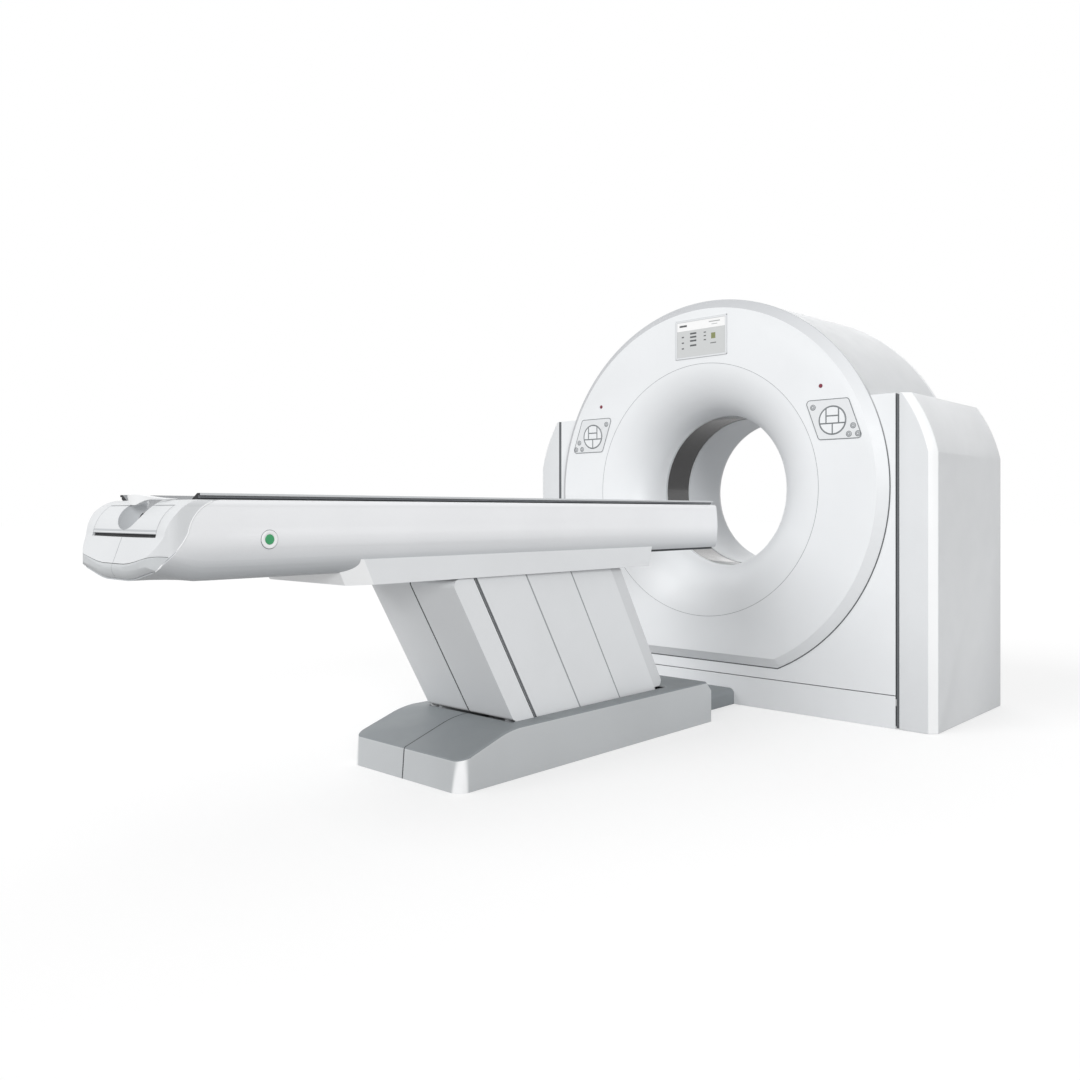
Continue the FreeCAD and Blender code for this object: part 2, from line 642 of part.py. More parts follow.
def pad_key(u, v):
    """One key of the right pad, cut from its disc between limits across and up."""
    face = FRONT - FACE_PROUD - PANEL_PROUD - KEY_PROUD
    x, z = PANEL_X + PAD_SHIFT, AXIS_Z + PAD_RISE
    gap = KEY_GAP / 2
    disc = rod(PAD_RADIUS, V(x, face, z), V(x, face + KEY_THICK, z))
    return disc.common(box((x + u[0] + gap, x + u[1] - gap), (face - 1, face + 2 * KEY_THICK),
                           (z + v[0] + gap, z + v[1] - gap)))


def key_fields():
    """Each key's name with its limits across and up."""
    edge = PAD_RADIUS + 1
    side, line, bar = KEY_COLUMN, -KEY_LINE_DROP, KEY_BAR_RISE
    return {
        "key_outer": ((side, edge), (line, edge)),
        "key_inner": ((-edge, -side), (line, edge)),
        "key_up": ((-side, side), (bar, edge)),
        "key_middle": ((-side, side), (line, bar)),
        "key_down_inner": ((-edge, 0), (-edge, line)),
        "key_down_outer": ((0, edge), (-edge, line)),
    }


def display():
    """Display block behind the face, its glass sunk in a narrow frame."""
    block = display_form(0, -DISPLAY_PROUD, DISPLAY_BLOCK)
    glass = display_form(-DISPLAY_FRAME, -DISPLAY_PROUD - 1, -DISPLAY_PROUD + DISPLAY_SINK)
    return rounded(block, DISPLAY_FRAME, lambda e: along(e, 1)).cut(glass)


# ---------------------------------------------------------------- gantry, rotor

def rotor_ring():
    """Turning plate with its bearing collar and a counterweight facing the power unit."""
    back = ROTOR_PLATE_DEPTH + ROTOR_PLATE
    plate = ring(ROTOR_RADIUS, ROTOR_BORE, ROTOR_PLATE_DEPTH, back)
    collar = ring(ROTOR_COLLAR_RADIUS, ROTOR_BORE, back, back + ROTOR_COLLAR_LENGTH)
    weight = box((POWER_X - COUNTERWEIGHT_WIDTH / 2, POWER_X + COUNTERWEIGHT_WIDTH / 2),
                 (FRONT + ROTOR_PLATE_DEPTH - COUNTERWEIGHT_DEPTH, FRONT + ROTOR_PLATE_DEPTH),
                 (AXIS_Z - POWER_HEIGHT / 2, AXIS_Z + POWER_HEIGHT / 2))
    return fuse([plate, collar, weight])


def xray_tube():
    z = AXIS_Z + FOCUS_RISE
    back = FRONT + ROTOR_PLATE_DEPTH
    tube = rod(TUBE_RADIUS, V(0, back - TUBE_LENGTH, z), V(0, back, z))
    half = COLLIMATOR_HALF
    collimator = box((-half, half), (SCAN_Y - half, SCAN_Y + half), (z - COLLIMATOR_DROP, z))
    return fuse([tube, collimator])


def detector_array():
    """Arc about the focal spot, opposite the tube, carried by the rotor's plate."""
    z = AXIS_Z + FOCUS_RISE
    y0, y1 = SCAN_Y - DETECTOR_HALF, FRONT + ROTOR_PLATE_DEPTH

    def on_arc(radius, angle):
        a = math.radians(angle)
        return V(radius * math.sin(a), y0, z - radius * math.cos(a))
    near, far, fan = DETECTOR_DISTANCE, DETECTOR_DISTANCE + DETECTOR_THICK, FAN_HALF_ANGLE
    wire = outline(on_arc(near, -fan), [(on_arc(near, 0), on_arc(near, fan)), on_arc(far, fan),
                                        (on_arc(far, 0), on_arc(far, -fan))])
    return extrude(wire, Y * (y1 - y0))


def power_unit():
    back = FRONT + ROTOR_PLATE_DEPTH
    unit = box((-POWER_X - POWER_WIDTH / 2, -POWER_X + POWER_WIDTH / 2), (back - POWER_DEPTH, back),
               (AXIS_Z - POWER_HEIGHT / 2, AXIS_Z + POWER_HEIGHT / 2))
    return rounded(unit, POWER_WIDTH / 12, lambda e: along(e, 1))


# ---------------------------------------------------------------- table, fixed parts

def plinth_form(inset):
    """The plinth's outer form, or the space inside its wall."""
    foot, head = FRONT - PLINTH_FOOT_REACH + inset, FRONT - PLINTH_HEAD_REACH - inset
    top, low = PLINTH_TOP - inset, 0 if inset == 0 else -1
    nose = PLINTH_NOSE - inset
    half = PLINTH_HALF - inset
    slope = FRONT - PLINTH_FOOT_REACH + PLINTH_SLOPE
    blend = (slope - foot) / 3
    points = [(foot, low), (foot + PLINTH_LEAN, nose), (slope - blend, top - (top - nose) * 0.22),
              ((slope - blend * 0.45, top - (top - nose) * 0.06), (slope, top)), (head - PLINTH_TAIL, top),
              (head, top - PLINTH_TAIL), (head, low)]
    block = side_prism(points, -half, half)
    return rounded(block, PLINTH_CORNER - inset, lambda e: e.BoundBox.YMax < foot + PLINTH_LEAN + 1
                   and spans(e, 2) > nose - 1)


def plinth_opening():
    """The slot in the plinth's top that the pedestal's plates pass through."""
    y0, y1 = pivot_y("foot") - PIVOT_RISE, pivot_y("head") + PIVOT_RISE + 2 * NOSE_CLEAR
    half = COVER_HALF + NOSE_CLEAR
    return box((-half, half), (y0, y1), (PLINTH_TOP - 2 * SKIN, PLINTH_TOP + 1))


def plinth_cover():
    """Right half of the plinth's cover."""
    foot = FRONT - PLINTH_FOOT_REACH
    form = rounded(plinth_form(0), PLINTH_EDGE, lambda e: e.BoundBox.ZMin > PLINTH_NOSE / 2
                   and spans(e, 0) < 1 and e.BoundBox.YMin > foot + PLINTH_LEAN + PLINTH_CORNER)
    shell = form.cut(plinth_form(SKIN)).cut(plinth_opening())
    head = FRONT - PLINTH_HEAD_REACH
    return shell.common(box((PLINTH_SEAM / 2, PLINTH_HALF + 1), (foot - 1, head + 1), (-1, PLINTH_TOP + 1)))


def floor_duct():
    """Low cable duct on the floor between the plinth and the gantry."""
    y0, y1 = FRONT - PLINTH_HEAD_REACH, FRONT
    duct = box((-DUCT_HALF, DUCT_HALF), (y0, y1), (0, DUCT_HEIGHT))
    duct = rounded(duct, DUCT_EDGE, lambda e: along(e, 1) and e.BoundBox.ZMin > 1)
    bottom = box((-DUCT_HALF + SKIN, DUCT_HALF - SKIN), (y0 - 1, y1 + 1), (-1, DUCT_HEIGHT - DUCT_EDGE))
    return duct.cut(bottom)


def slat_offsets(index):
    """A slat's pivot behind the foot face along the plinth, and its edge forward of the pivot."""
    raised = SLAT_START + index * (SLAT_WIDTH + SLAT_SEAM)
    stowed = SLAT_STOWED_START + index * SLAT_STOWED_STEP
    pivot = (raised - stowed) / (LEAN_COS - LOW_COS)
    return pivot, pivot * LEAN_COS - raised


def pivot_y(name):
    """Place of a lower pivot: foot or head cover, or a slat's number."""
    if name == "foot":
        return FACE_FOOT_Y + NOSE_RADIUS / LEAN_COS
    if name == "head":
        return FACE_FOOT_Y + COVER_LENGTH - NOSE_RADIUS / LEAN_COS
    return FACE_FOOT_Y + slat_offsets(name)[0]


def link_pivots():
    return [FACE_FOOT_Y + LINK_FOOT_OFFSET, FACE_FOOT_Y + LINK_HEAD_OFFSET]


def pivot_plate(lower):
    """Right plate of the base frame or the carriage that carries the pivots: pins for the cover plates,
    bearings for the links, and a round relief where the end cover's lip turns."""
    x0, x1 = CHEEK_PLATE_X - CHEEK_PLATE / 2, CHEEK_PLATE_X + CHEEK_PLATE / 2
    shift = V(0, 0, PIVOT_Z) + (V(0, 0, 0) if lower else UPPER)
    places = {name: shift + Y * pivot_y(name) for name in ("foot", "head", *range(SLAT_COUNT))}
    ends = [places["foot"], places["head"]]
    if lower:
        web = box((x0, x1), (ends[0].y, ends[1].y), (FLOOR_PLATE, shift.z + CHEEK_HUB))
        relief_end, relief_z = ends[0], (shift.z - PIVOT_RISE, shift.z)
    else:
        web = box((x0, x1), (ends[0].y, ends[1].y), (shift.z - CHEEK_HUB, CARRIAGE_PLATE_TOP))
        y0, y1 = FRONT - SKIRT_FOOT_REACH + SKIRT_CORNER_Y, FRONT - SKIRT_HEAD_REACH - SKIRT_CORNER_Y
        tail = box((x0, x1), (y0, y1), (SKIRT_BOTTOM + SKIRT_FLOOR, CARRIAGE_PLATE_TOP))
        web = fuse([web, tail])
        relief_end, relief_z = ends[1], (shift.z, shift.z + PIVOT_RISE)
    lip = rod(PIVOT_RISE, relief_end + X * (x0 - 1), relief_end + X * (x1 + 1))
    web = web.cut(lip.common(box((x0 - 1, x1 + 1), (lip.BoundBox.YMin, lip.BoundBox.YMax), relief_z)))
    hubs = [rod(CHEEK_HUB, p + X * x0, p + X * x1) for p in ends]
    pin_end = BRACKET_INNER + BRACKET_THICK + 1
    pins = [rod(PIN_RADIUS, p + X * x0, p + X * pin_end) for p in places.values()]
    plate = fuse([web] + hubs + pins)
    for y in link_pivots():
        spot = shift + Y * y
        plate = plate.cut(rod(LINK_SHAFT + RUNNING, spot + X * (x0 - 1), spot + X * (x1 + 1)))
    return plate


def table_base_frame():
    """Floor plate with two upright plates that carry the pedestal's lower pivots."""
    plate = pivot_plate(True)
    y0, y1 = pivot_y("foot") - 2 * CHEEK_HUB, pivot_y("head") + 2 * CHEEK_HUB
    half = PLINTH_HALF - SKIN - FIT
    floor = box((-half, half), (y0, y1), (0, FLOOR_PLATE))
    middle = (y0 + y1) / 2
    for sx in (-1, 1):
        for sy in (-1, 1):
            spot = V(sx * TABLE_ANCHOR_X, middle + sy * TABLE_ANCHOR_REACH / 2, -1)
            floor = floor.cut(Part.makeCylinder(ANCHOR_RADIUS, 2 * FLOOR_PLATE, spot))
    ties = [rod(LINK_SHAFT, V(-CHEEK_PLATE_X, y, 2 * LINK_SHAFT), V(CHEEK_PLATE_X, y, 2 * LINK_SHAFT))
            for y in (y0 + 4 * CHEEK_HUB, middle, y1 - 4 * CHEEK_HUB)]
    return fuse([floor, plate, mirror(plate)] + ties)


def lift_gearmotor():
    """Hollow-shaft gearbox on the foot link's lower shaft, its motor lying towards the head."""
    y = link_pivots()[0]
    half = GEARBOX_HALF
    case = box((-half, half), (y - half, y + half), (PIVOT_Z - 2 * half, PIVOT_Z + half))
    case = rounded(case, half / 5, lambda e: along(e, 0))
    z = PIVOT_Z - 1.6 * half
    motor = rod(LIFT_MOTOR_RADIUS, V(0, y, z), V(0, y + half + LIFT_MOTOR_LENGTH, z))
    foot = box((-half, half), (y - half, y + half), (FLOOR_PLATE, PIVOT_Z - half))
    shaft = rod(LINK_SHAFT + FIT, V(-half - 1, y, PIVOT_Z), V(half + 1, y, PIVOT_Z))
    return fuse([case, motor, foot]).cut(shaft)


# ---------------------------------------------------------------- table, lift

def link(y):
    """Two bars with a shaft through each end and a tube across the middle."""
    low = V(0, y, PIVOT_Z)
    high = low + UPPER
    x0, x1 = LINK_X - LINK_THICK / 2, LINK_X + LINK_THICK / 2
    side, tip, inward = SQUARE * LINK_HALF, ALONG * LINK_HALF, X * x0
    bar = extrude(outline(low + side + inward, [
        high + side + inward, (high + tip + inward, high - side + inward),
        low - side + inward, (low - tip + inward, low + side + inward)]), X * (x1 - x0))
    end = CHEEK_PLATE_X + CHEEK_PLATE / 2 + 1
    shafts = [rod(LINK_SHAFT, p - X * end, p + X * end) for p in (low, high)]
    middle = (low + high) / 2
    return fuse([bar, mirror(bar), rod(LINK_SHAFT, middle - X * LINK_X, middle + X * LINK_X)] + shafts)


def round_about(middle, radius, angle):
    """A point on a circle square to X."""
    a = math.radians(angle)
    return middle + V(0, radius * math.cos(a), radius * math.sin(a))


def edge_point(pivot, square, rise):
    """A point at a height above a pivot, on the line that runs up the lean at a distance square to it."""
    return pivot + V(0, (square - rise * LEAN_SIN) / LEAN_COS, rise)


def lip(pivot, x, start, end):
    """The steps of a cover's curved edge about a pivot: its outer arc, then its inner arc back."""
    outer, inner = NOSE_RADIUS, NOSE_RADIUS - COVER_FACE
    middle = (start + end) / 2
    over = [round_about(pivot, outer, a) + X * x for a in (start, middle, end)]
    back = [round_about(pivot, inner, a) + X * x for a in (end, middle, start)]
    return over, back


def end_cover(y, seam, wing, wing_x):
    """Right half of a cover with its pivots at y: face towards the foot end, lips about both pivots, a
    side wing, and an ear on each pivot's pin."""
    low = V(0, y, PIVOT_Z)
    high = low + UPPER
    facing = 180 + LEAN
    under, top = 270 - LIP_CLEAR, 90 + LIP_CLEAR
    low_over, low_back = lip(low, seam / 2, under, facing)
    high_over, high_back = lip(high, seam / 2, facing, top)
    wire = outline(low_over[0], [tuple(low_over[1:]), high_over[0], tuple(high_over[1:]), high_back[0],
                                 tuple(high_back[1:]), low_back[0], tuple(low_back[1:])])
    face = extrude(wire, X * (wing_x[1] - seam / 2))
    tail, edge, rise = -PIVOT_RISE - SLAT_TAIL, wing - NOSE_RADIUS, high.z - low.z
    low_over, high_over = lip(low, wing_x[0], under, facing)[0], lip(high, wing_x[0], facing, top)[0]
    inward = X * wing_x[0]
    wire = outline(low_over[2], [(low_over[1], low_over[0]), low + V(0, 1, tail) + inward,
                                 edge_point(low, edge, tail) + inward,
                                 edge_point(low, edge, rise + NOSE_RADIUS) + inward, high_over[2],
                                 (high_over[1], high_over[0])])
    pieces = [face, extrude(wire, X * (wing_x[1] - wing_x[0]))]
    reach, half = SQUARE * (NOSE_RADIUS - COVER_FACE + 1), ALONG * BRACKET_HUB
    for pivot in (low, high):
        start = pivot + X * BRACKET_INNER
        arm = extrude(outline(start - reach - half, [start - half, start + half, start - reach + half]),
                      X * BRACKET_THICK)
        ear = fuse([arm, rod(BRACKET_HUB, start, start + X * BRACKET_THICK)])
        pieces.append(ear.cut(rod(PIN_RADIUS + PIN_CLEAR, start - X, start + X * 2 * BRACKET_THICK)))
    return fuse(pieces)


def foot_cover():
    return end_cover(pivot_y("foot"), COVER_SEAM, COVER_WING, (COVER_HALF - COVER_FACE, COVER_HALF))


def head_cover():
    """The same form turned end for end, its wings inside the slats, in one piece across."""
    y = pivot_y("head")
    outside = BRACKET_INNER + BRACKET_THICK + NOSE_CLEAR
    half = end_cover(y, 0, REAR_WING, (outside, outside + SLAT_THICK))
    half = half.rotate(V(0, y, PIVOT_Z) + UPPER / 2, X, 180)
    return fuse([half, mirror(half)])


def side_slat(index):
    """One right slat: a thin plate with a stud at its foot edge and a bracket to its pivot at each end."""
    ahead = slat_offsets(index)[1]
    low = V(0, pivot_y(index), PIVOT_Z)
    high = low + UPPER
    x1 = COVER_HALF - SLAT_STEP * (index + 1)
    x0 = x1 - SLAT_THICK
    tail, rise = PIVOT_RISE + SLAT_TAIL, high.z - low.z
    corners = [edge_point(low, -ahead, -tail), edge_point(low, SLAT_WIDTH - ahead, -tail),
               edge_point(low, SLAT_WIDTH - ahead, rise + tail), edge_point(low, -ahead, rise + tail)]
    corners = [c + X * x0 for c in corners]
    pieces = [extrude(outline(corners[0], corners[1:]), X * SLAT_THICK)]
    half = BRACKET_HUB / 2
    for pivot in (low, high):
        start = pivot + X * BRACKET_INNER
        near, far = STUD_START - ahead, STUD_START + STUD_WIDTH - ahead
        low_near, high_near = edge_point(start, near, -half), edge_point(start, near, half)
        bar = [low_near, start - Z * half, start + Z * half, high_near]
        stud = [low_near, edge_point(start, far, -half), edge_point(start, far, half), high_near]
        hub = fuse([extrude(outline(bar[0], bar[1:]), X * BRACKET_THICK),
                    rod(BRACKET_HUB, start, start + X * BRACKET_THICK)])
        pieces.append(hub.cut(rod(PIN_RADIUS + PIN_CLEAR, start - X, start + X * 2 * BRACKET_THICK)))
        pieces.append(extrude(outline(stud[0], stud[1:]), X * (x0 - BRACKET_INNER)))
    return fuse(pieces)


# ---------------------------------------------------------------- table, carriage

def upper_opening():
    """Limits along Y of the slot in the skirt's floor."""
    shift = UPPER.y
    return pivot_y("foot") + shift - PIVOT_RISE, pivot_y("head") + shift + PIVOT_RISE


def carriage_frame():
    """Two plates with the upper pivots, tied across, that carry the table body."""
    plate = pivot_plate(False)
    y0, y1 = upper_opening()
    ties = [rod(LINK_SHAFT, V(-CHEEK_PLATE_X, y, CARRIAGE_PLATE_TOP - 3 * LINK_SHAFT),
                V(CHEEK_PLATE_X, y, CARRIAGE_PLATE_TOP - 3 * LINK_SHAFT)) for y in (y0, (y0 + y1) / 2, y1)]
    return fuse([plate, mirror(plate)] + ties)


def skirt_plan(z, flare_out, rake):
    """The skirt's outline at a height."""
    half, head, foot = SKIRT_HALF + flare_out, FRONT - SKIRT_HEAD_REACH, FRONT - SKIRT_FOOT_REACH - rake
    points = [V(-half, head, z), V(half, head, z), V(half, foot + SKIRT_CORNER_Y, z),
              V(half - SKIRT_CORNER_X, foot, z), V(-half + SKIRT_CORNER_X, foot, z),
              V(-half, foot + SKIRT_CORNER_Y, z)]
    return outline(points[0], points[1:])


def tray_space(low, high):
    """The space inside the skirt's walls between two heights."""
    half = COVER_HALF + NOSE_CLEAR
    return box((-half, half), (FRONT - SKIRT_FOOT_REACH + SKIRT_CORNER_Y - SKIRT_WALL,
                               FRONT - SKIRT_HEAD_REACH - SKIRT_WALL), (low, high))


def carriage_skirt():
    """Tray under the table body, its foot end raked forward, open for the pedestal's plates."""
    plans = [skirt_plan(SKIRT_BOTTOM, 0, 0), skirt_plan(SKIRT_TOP, SKIRT_FLARE, SKIRT_RAKE)]
    outer = Part.makeLoft(plans, True, True)
    floor = SKIRT_BOTTOM + SKIRT_FLOOR
    half = COVER_HALF + NOSE_CLEAR
    slot = box((-half, half), upper_opening(), (SKIRT_BOTTOM - 1, floor + 1))
    return outer.cut(tray_space(floor, SKIRT_TOP + 1)).cut(slot).cut(body_block())


def body_section(inset, reach, channel):
    """Closed outline of the table body across the machine, with or without the cradle's channel."""
    half, low = BODY_HALF - inset, BODY_BOTTOM + inset
    turned_up = low + BELLY_RISE
    y = FRONT - reach
    steps = [(V(half - 0.32 * BELLY_RISE, y, low + 0.3 * BELLY_RISE), V(half - 3, y, turned_up))]
    if channel:
        edge = BODY_TOP - SHOULDER_ROUND
        steps += [(V(half, y, (turned_up + edge) / 2), V(half - 5, y, edge)),
                  (V(half - 9, y, BODY_TOP - 4), V(half - SHOULDER_ROUND, y, BODY_TOP)),
                  V(CHANNEL_HALF, y, BODY_TOP), V(CHANNEL_HALF, y, CHANNEL_FLOOR)]
    else:
        steps += [V(half - 1, y, CHANNEL_FLOOR - inset)]
    return symmetric(V(half - BELLY_RISE, y, low), steps)


def body_block():
    """The table body's outer form with the cradle's channel, over its whole length."""
    form = extrude(body_section(0, FOOT_REACH, True), Y * (FOOT_REACH - BODY_HEAD_REACH))
    half = BODY_HALF + 1
    step = box((-half, half), (FRONT - BODY_STEP_REACH, FRONT), (BODY_BOTTOM - 1, BODY_HEAD_BOTTOM))
    return form.cut(step)


def foot_region(shift):
    """Everything forward of the curved seam between the foot cap and the table body."""
    far, half = FOOT_Y - 2 * FOOT_CORNER, BODY_HALF + 1
    low, high = BODY_BOTTOM - 1, BODY_TOP + 1

    def p(inward, z):
        return (FOOT_Y + inward - shift, z)
    belly = (p(SEAM_BELLY_IN, SEAM_BELLY_Z), p(SEAM_MIDDLE_IN, SEAM_MIDDLE_Z))
    neck = (p(SEAM_NECK_IN, SEAM_NECK_Z), p(SEAM_TOP_IN, BODY_TOP))
    points = [(far, low), p(SEAM_LOW_IN, low), belly, neck, p(SEAM_TOP_IN, high), (far, high)]
    return side_prism(points, -half, half)


def table_body():
    """Long hollow body with the cradle's channel on top and a slot below for the pedestal."""
    body = body_block().cut(foot_region(0))
    length = FOOT_REACH - 2 * BODY_WALL
    cavity = extrude(body_section(BODY_WALL, length, False), Y * (length - BODY_HEAD_REACH - BODY_WALL))
    foot = cavity.common(box((-BODY_HALF, BODY_HALF), (FRONT - 2 * FOOT_REACH, FRONT - BODY_STEP_REACH),
                             (0, CHANNEL_FLOOR)))
    head = cavity.common(box((-BODY_HALF, BODY_HALF), (FRONT - BODY_STEP_REACH - 1, FRONT),
                             (BODY_HEAD_BOTTOM + BODY_WALL, CHANNEL_FLOOR)))
    foot = foot.cut(foot_region(-2 * BODY_WALL))
    slot = tray_space(BODY_BOTTOM - 1, CHANNEL_FLOOR - BODY_WALL)
    spigot = nose_form(2 * BODY_WALL).common(foot_region(0)).cut(foot_region(FOOT_GAP - FIT)).common(
        box((-BODY_HALF, BODY_HALF), (FRONT - FOOT_REACH, FRONT), (BODY_BOTTOM, CHANNEL_FLOOR)))
    body = body.cut(foot).cut(head).cut(slot).fuse(spigot)
    spot = at(FOOT_REACH - GREEN_IN, GREEN_Z)
    bezel = rod(BEZEL_RADIUS, spot + X * CHANNEL_HALF, spot + X * (BODY_HALF + BEZEL_PROUD))
    well = BODY_HALF - GREEN_DEEP - GREEN_TRAVEL - FIT
    return body.fuse(bezel).cut(rod(GREEN_RADIUS + FIT, spot + X * well, spot + X * (BODY_HALF + GREEN_DEEP)))


def green_button():
    spot = at(FOOT_REACH - GREEN_IN, GREEN_Z)
    button = rod(GREEN_RADIUS, spot + X * (BODY_HALF - GREEN_DEEP), spot + X * (BODY_HALF + GREEN_TRAVEL))
    return button.makeChamfer(GREEN_TRAVEL / 2, [e for e in button.Edges if e.BoundBox.XMin > BODY_HALF])


def nose_form(inset):
    """The foot end's pillow form: body section, side outline and plan outline in one."""
    foot, end = FOOT_Y + inset, FOOT_Y + 2.5 * FOOT_CORNER
    low, high = BODY_BOTTOM + inset, BODY_TOP - inset
    form = extrude(body_section(inset, FOOT_REACH, True), Y * (end - foot))
    filling = box((-CHANNEL_HALF - 1, CHANNEL_HALF + 1), (foot - inset, end), (CHANNEL_FLOOR - 1, high))

    def p(inward, z):
        return (foot + inward, z)
    chin = (p(CHIN_TURN_IN, low + CHIN_TURN_RISE), p(0, BODY_BOTTOM + CHIN_RISE))
    brow = (p(CAP_BROW_IN, CAP_BROW_Z), p(CAP_CROWN_IN, high))
    side = side_prism([p(CHIN_IN, low), chin, p(BUMPER_LEAN, BUMPER_TOP + 2), p(CAP_LIP_IN, CAP_LIP_Z),
                       brow, (end, high), (end, low)], -BODY_HALF, BODY_HALF)
    wide, turn = BODY_HALF - inset, FOOT_CORNER
    corner = turn * (1 - math.sqrt(0.5))

    def q(x, y):
        return V(x, foot + y, BODY_BOTTOM)
    bow = (q(0, 0), q(turn - wide, FOOT_BOW))
    plan = outline(q(wide, end - foot), [
        q(wide, turn), (q(wide - corner, corner), q(wide - turn, FOOT_BOW)), bow,
        (q(corner - wide, corner), q(-wide, turn)), q(-wide, end - foot)])
    return fuse([form, filling]).common(side).common(extrude(plan, Z * (BODY_TOP - BODY_BOTTOM)))


def largest(shape):
    return max(shape.Solids, key=lambda solid: solid.Volume)


def foot_parts():
    """Foot cap, hatch and bumper, cut from one pillow form."""
    whole = nose_form(0).common(foot_region(FOOT_GAP))
    half, seam = BODY_HALF + 1, FOOT_GAP / 2
    y = (FOOT_Y - 1, FRONT)
    bumper = whole.common(box((-half, half), y, (BODY_BOTTOM - 1, BUMPER_TOP - seam)))
    scoop = Part.makeSphere(SCOOP_RADIUS, V(0, CRADLE_FOOT_Y - HANDLE_DEPTH / 2 - HANDLE_THICK, BODY_TOP))
    channel = box((-CHANNEL_HALF, CHANNEL_HALF), (CRADLE_FOOT_Y - 2 * FOOT_GAP, FRONT),
                  (CHANNEL_FLOOR, BODY_TOP + 1))
    field = box((-HATCH_HALF, HATCH_HALF), y, (HATCH_LOW, HATCH_HIGH))
    hatch = whole.cut(nose_form(HATCH_THICK)).common(field)
    grown = box((-HATCH_HALF - seam, HATCH_HALF + seam), y, (HATCH_LOW - SLOT_HEIGHT, HATCH_HIGH + seam))
    pocket = whole.cut(nose_form(HATCH_THICK + FIT)).common(grown)
    cap = whole.common(box((-half, half), y, (BUMPER_TOP + seam, BODY_TOP + 1)))
    cap = cap.cut(channel).cut(scoop).cut(pocket)
    return largest(cap), largest(hatch.cut(scoop)), bumper


# ---------------------------------------------------------------- table, cradle

def cradle():
    """Shallow trough with a flat rim, a closed foot end and two runners."""
    y = CRADLE_FOOT_Y
    length = FRONT - CRADLE_HEAD_REACH - y
    top, rim, sag = CRADLE_TOP, CRADLE_TOP - CRADLE_RIM, CRADLE_TOP - CRADLE_SAG
    web, lip_x = CRADLE_WEB_HALF, CRADLE_WEB_HALF - CRADLE_RIM

    def p(x, z):
        return V(x, y, z)
    hollow = (p(0, sag), p(-lip_x, top))
    belly = (p(0, sag - CRADLE_THICK), p(web, rim - CRADLE_RIM))
    wire = outline(p(web, rim - CRADLE_RIM), [
        p(web, rim), p(CRADLE_HALF, rim), p(CRADLE_HALF, top), p(lip_x, top), hollow, p(-CRADLE_HALF, top),
        p(-CRADLE_HALF, rim), p(-web, rim), p(-web, rim - CRADLE_RIM), belly])
    end = outline(p(lip_x, top), [hollow])
    pieces = [extrude(wire, Y * length), extrude(end, Y * CRADLE_THICK)]
    for x in (-RUNNER_X, RUNNER_X):
        sides = (x - RUNNER_WIDTH / 2, x + RUNNER_WIDTH / 2)
        pieces.append(box(sides, (y, y + length), (CHANNEL_FLOOR + FIT, sag)))
    return fuse(pieces)


def pull_handle():
    """Crescent grip on the cradle's foot end, over the scoop in the foot cap."""
    y, tip, low = CRADLE_FOOT_Y, CRADLE_FOOT_Y - HANDLE_DEPTH, BODY_TOP + FIT

    def p(x, depth):
        return V(x, depth, low)
    wide, inner = HANDLE_HALF + HANDLE_WIDTH, HANDLE_HALF - HANDLE_WIDTH
    wire = outline(p(-wide, y), [(p(0, tip), p(wide, y)), p(inner, y),
                                 (p(0, tip + HANDLE_WIDTH), p(-inner, y))])
    return extrude(wire, Z * HANDLE_THICK)


def write(shapes):
    os.makedirs("parts", exist_ok=True)
    for name, shape in shapes.items():
        shape.exportStep(f"parts/{name}.step")


def main():
    cap, hatch, bumper = foot_parts()
    panel, laser = control_panel(), laser_rod(LASER_RADIUS, LASER_X, -PANEL_PROUD, LASER_LENGTH)
    cover = tower_cover()
    plinth, foot = plinth_cover(), foot_cover()
    foot_link, head_link = link_pivots()
    shapes = {
        "gantry_stand": gantry_stand(),
        "tower_cover_right": cover, "tower_cover_left": mirror(cover),
        "base_cover_front": base_cover(0, 0),
        "base_cover_rear": base_cover(REAR_DEPTH - SKIN, REAR_DEPTH),
        "tilt_drive": tilt_drive(),
        "tilt_frame": tilt_frame(),
        "drum_casing": drum_casing(),
        "front_panel": front_panel(),
        "front_cover": front_cover(),
        "bore_funnel": bore_funnel(),
        "scan_window": ring(BORE_RADIUS + WINDOW_WALL, BORE_RADIUS, WINDOW_FRONT_DEPTH, WINDOW_BACK_DEPTH),
        "bore_liner": ring(BORE_RADIUS + SKIN, BORE_RADIUS, WINDOW_BACK_DEPTH, LINER_BACK_DEPTH),
        "rear_cover": rear_cover(),
        "display": display(),
        "control_panel_right": panel, "control_panel_left": mirror(panel),
        "laser_window_right": laser, "laser_window_left": mirror(laser),
        "rotor_ring": rotor_ring(), "xray_tube": xray_tube(), "detector_array": detector_array(),
        "power_unit": power_unit(),
        "plinth_cover_right": plinth, "plinth_cover_left": mirror(plinth),
        "floor_duct": floor_duct(),
        "table_base_frame": table_base_frame(), "lift_gearmotor": lift_gearmotor(),
        "link_foot": link(foot_link), "link_head": link(head_link),
        "pedestal_cover_foot_right": foot, "pedestal_cover_foot_left": mirror(foot),
        "pedestal_cover_head": head_cover(),
        "carriage_frame": carriage_frame(), "carriage_skirt": carriage_skirt(), "table_body": table_body(),
        "foot_cap": cap, "foot_hatch": hatch, "foot_bumper": bumper, "green_button": green_button(),
        "cradle": cradle(), "pull_handle": pull_handle(),
    }
    for name, (u, v) in key_fields().items():
        key = pad_key(u, v)
        shapes[name + "_right"] = key
        shapes[name + "_left"] = mirror(key)
    for index in range(SLAT_COUNT):
        slat = side_slat(index)
        shapes[f"side_slat_{index + 1}_right"] = slat
        shapes[f"side_slat_{index + 1}_left"] = mirror(slat)
    write(shapes)


main()
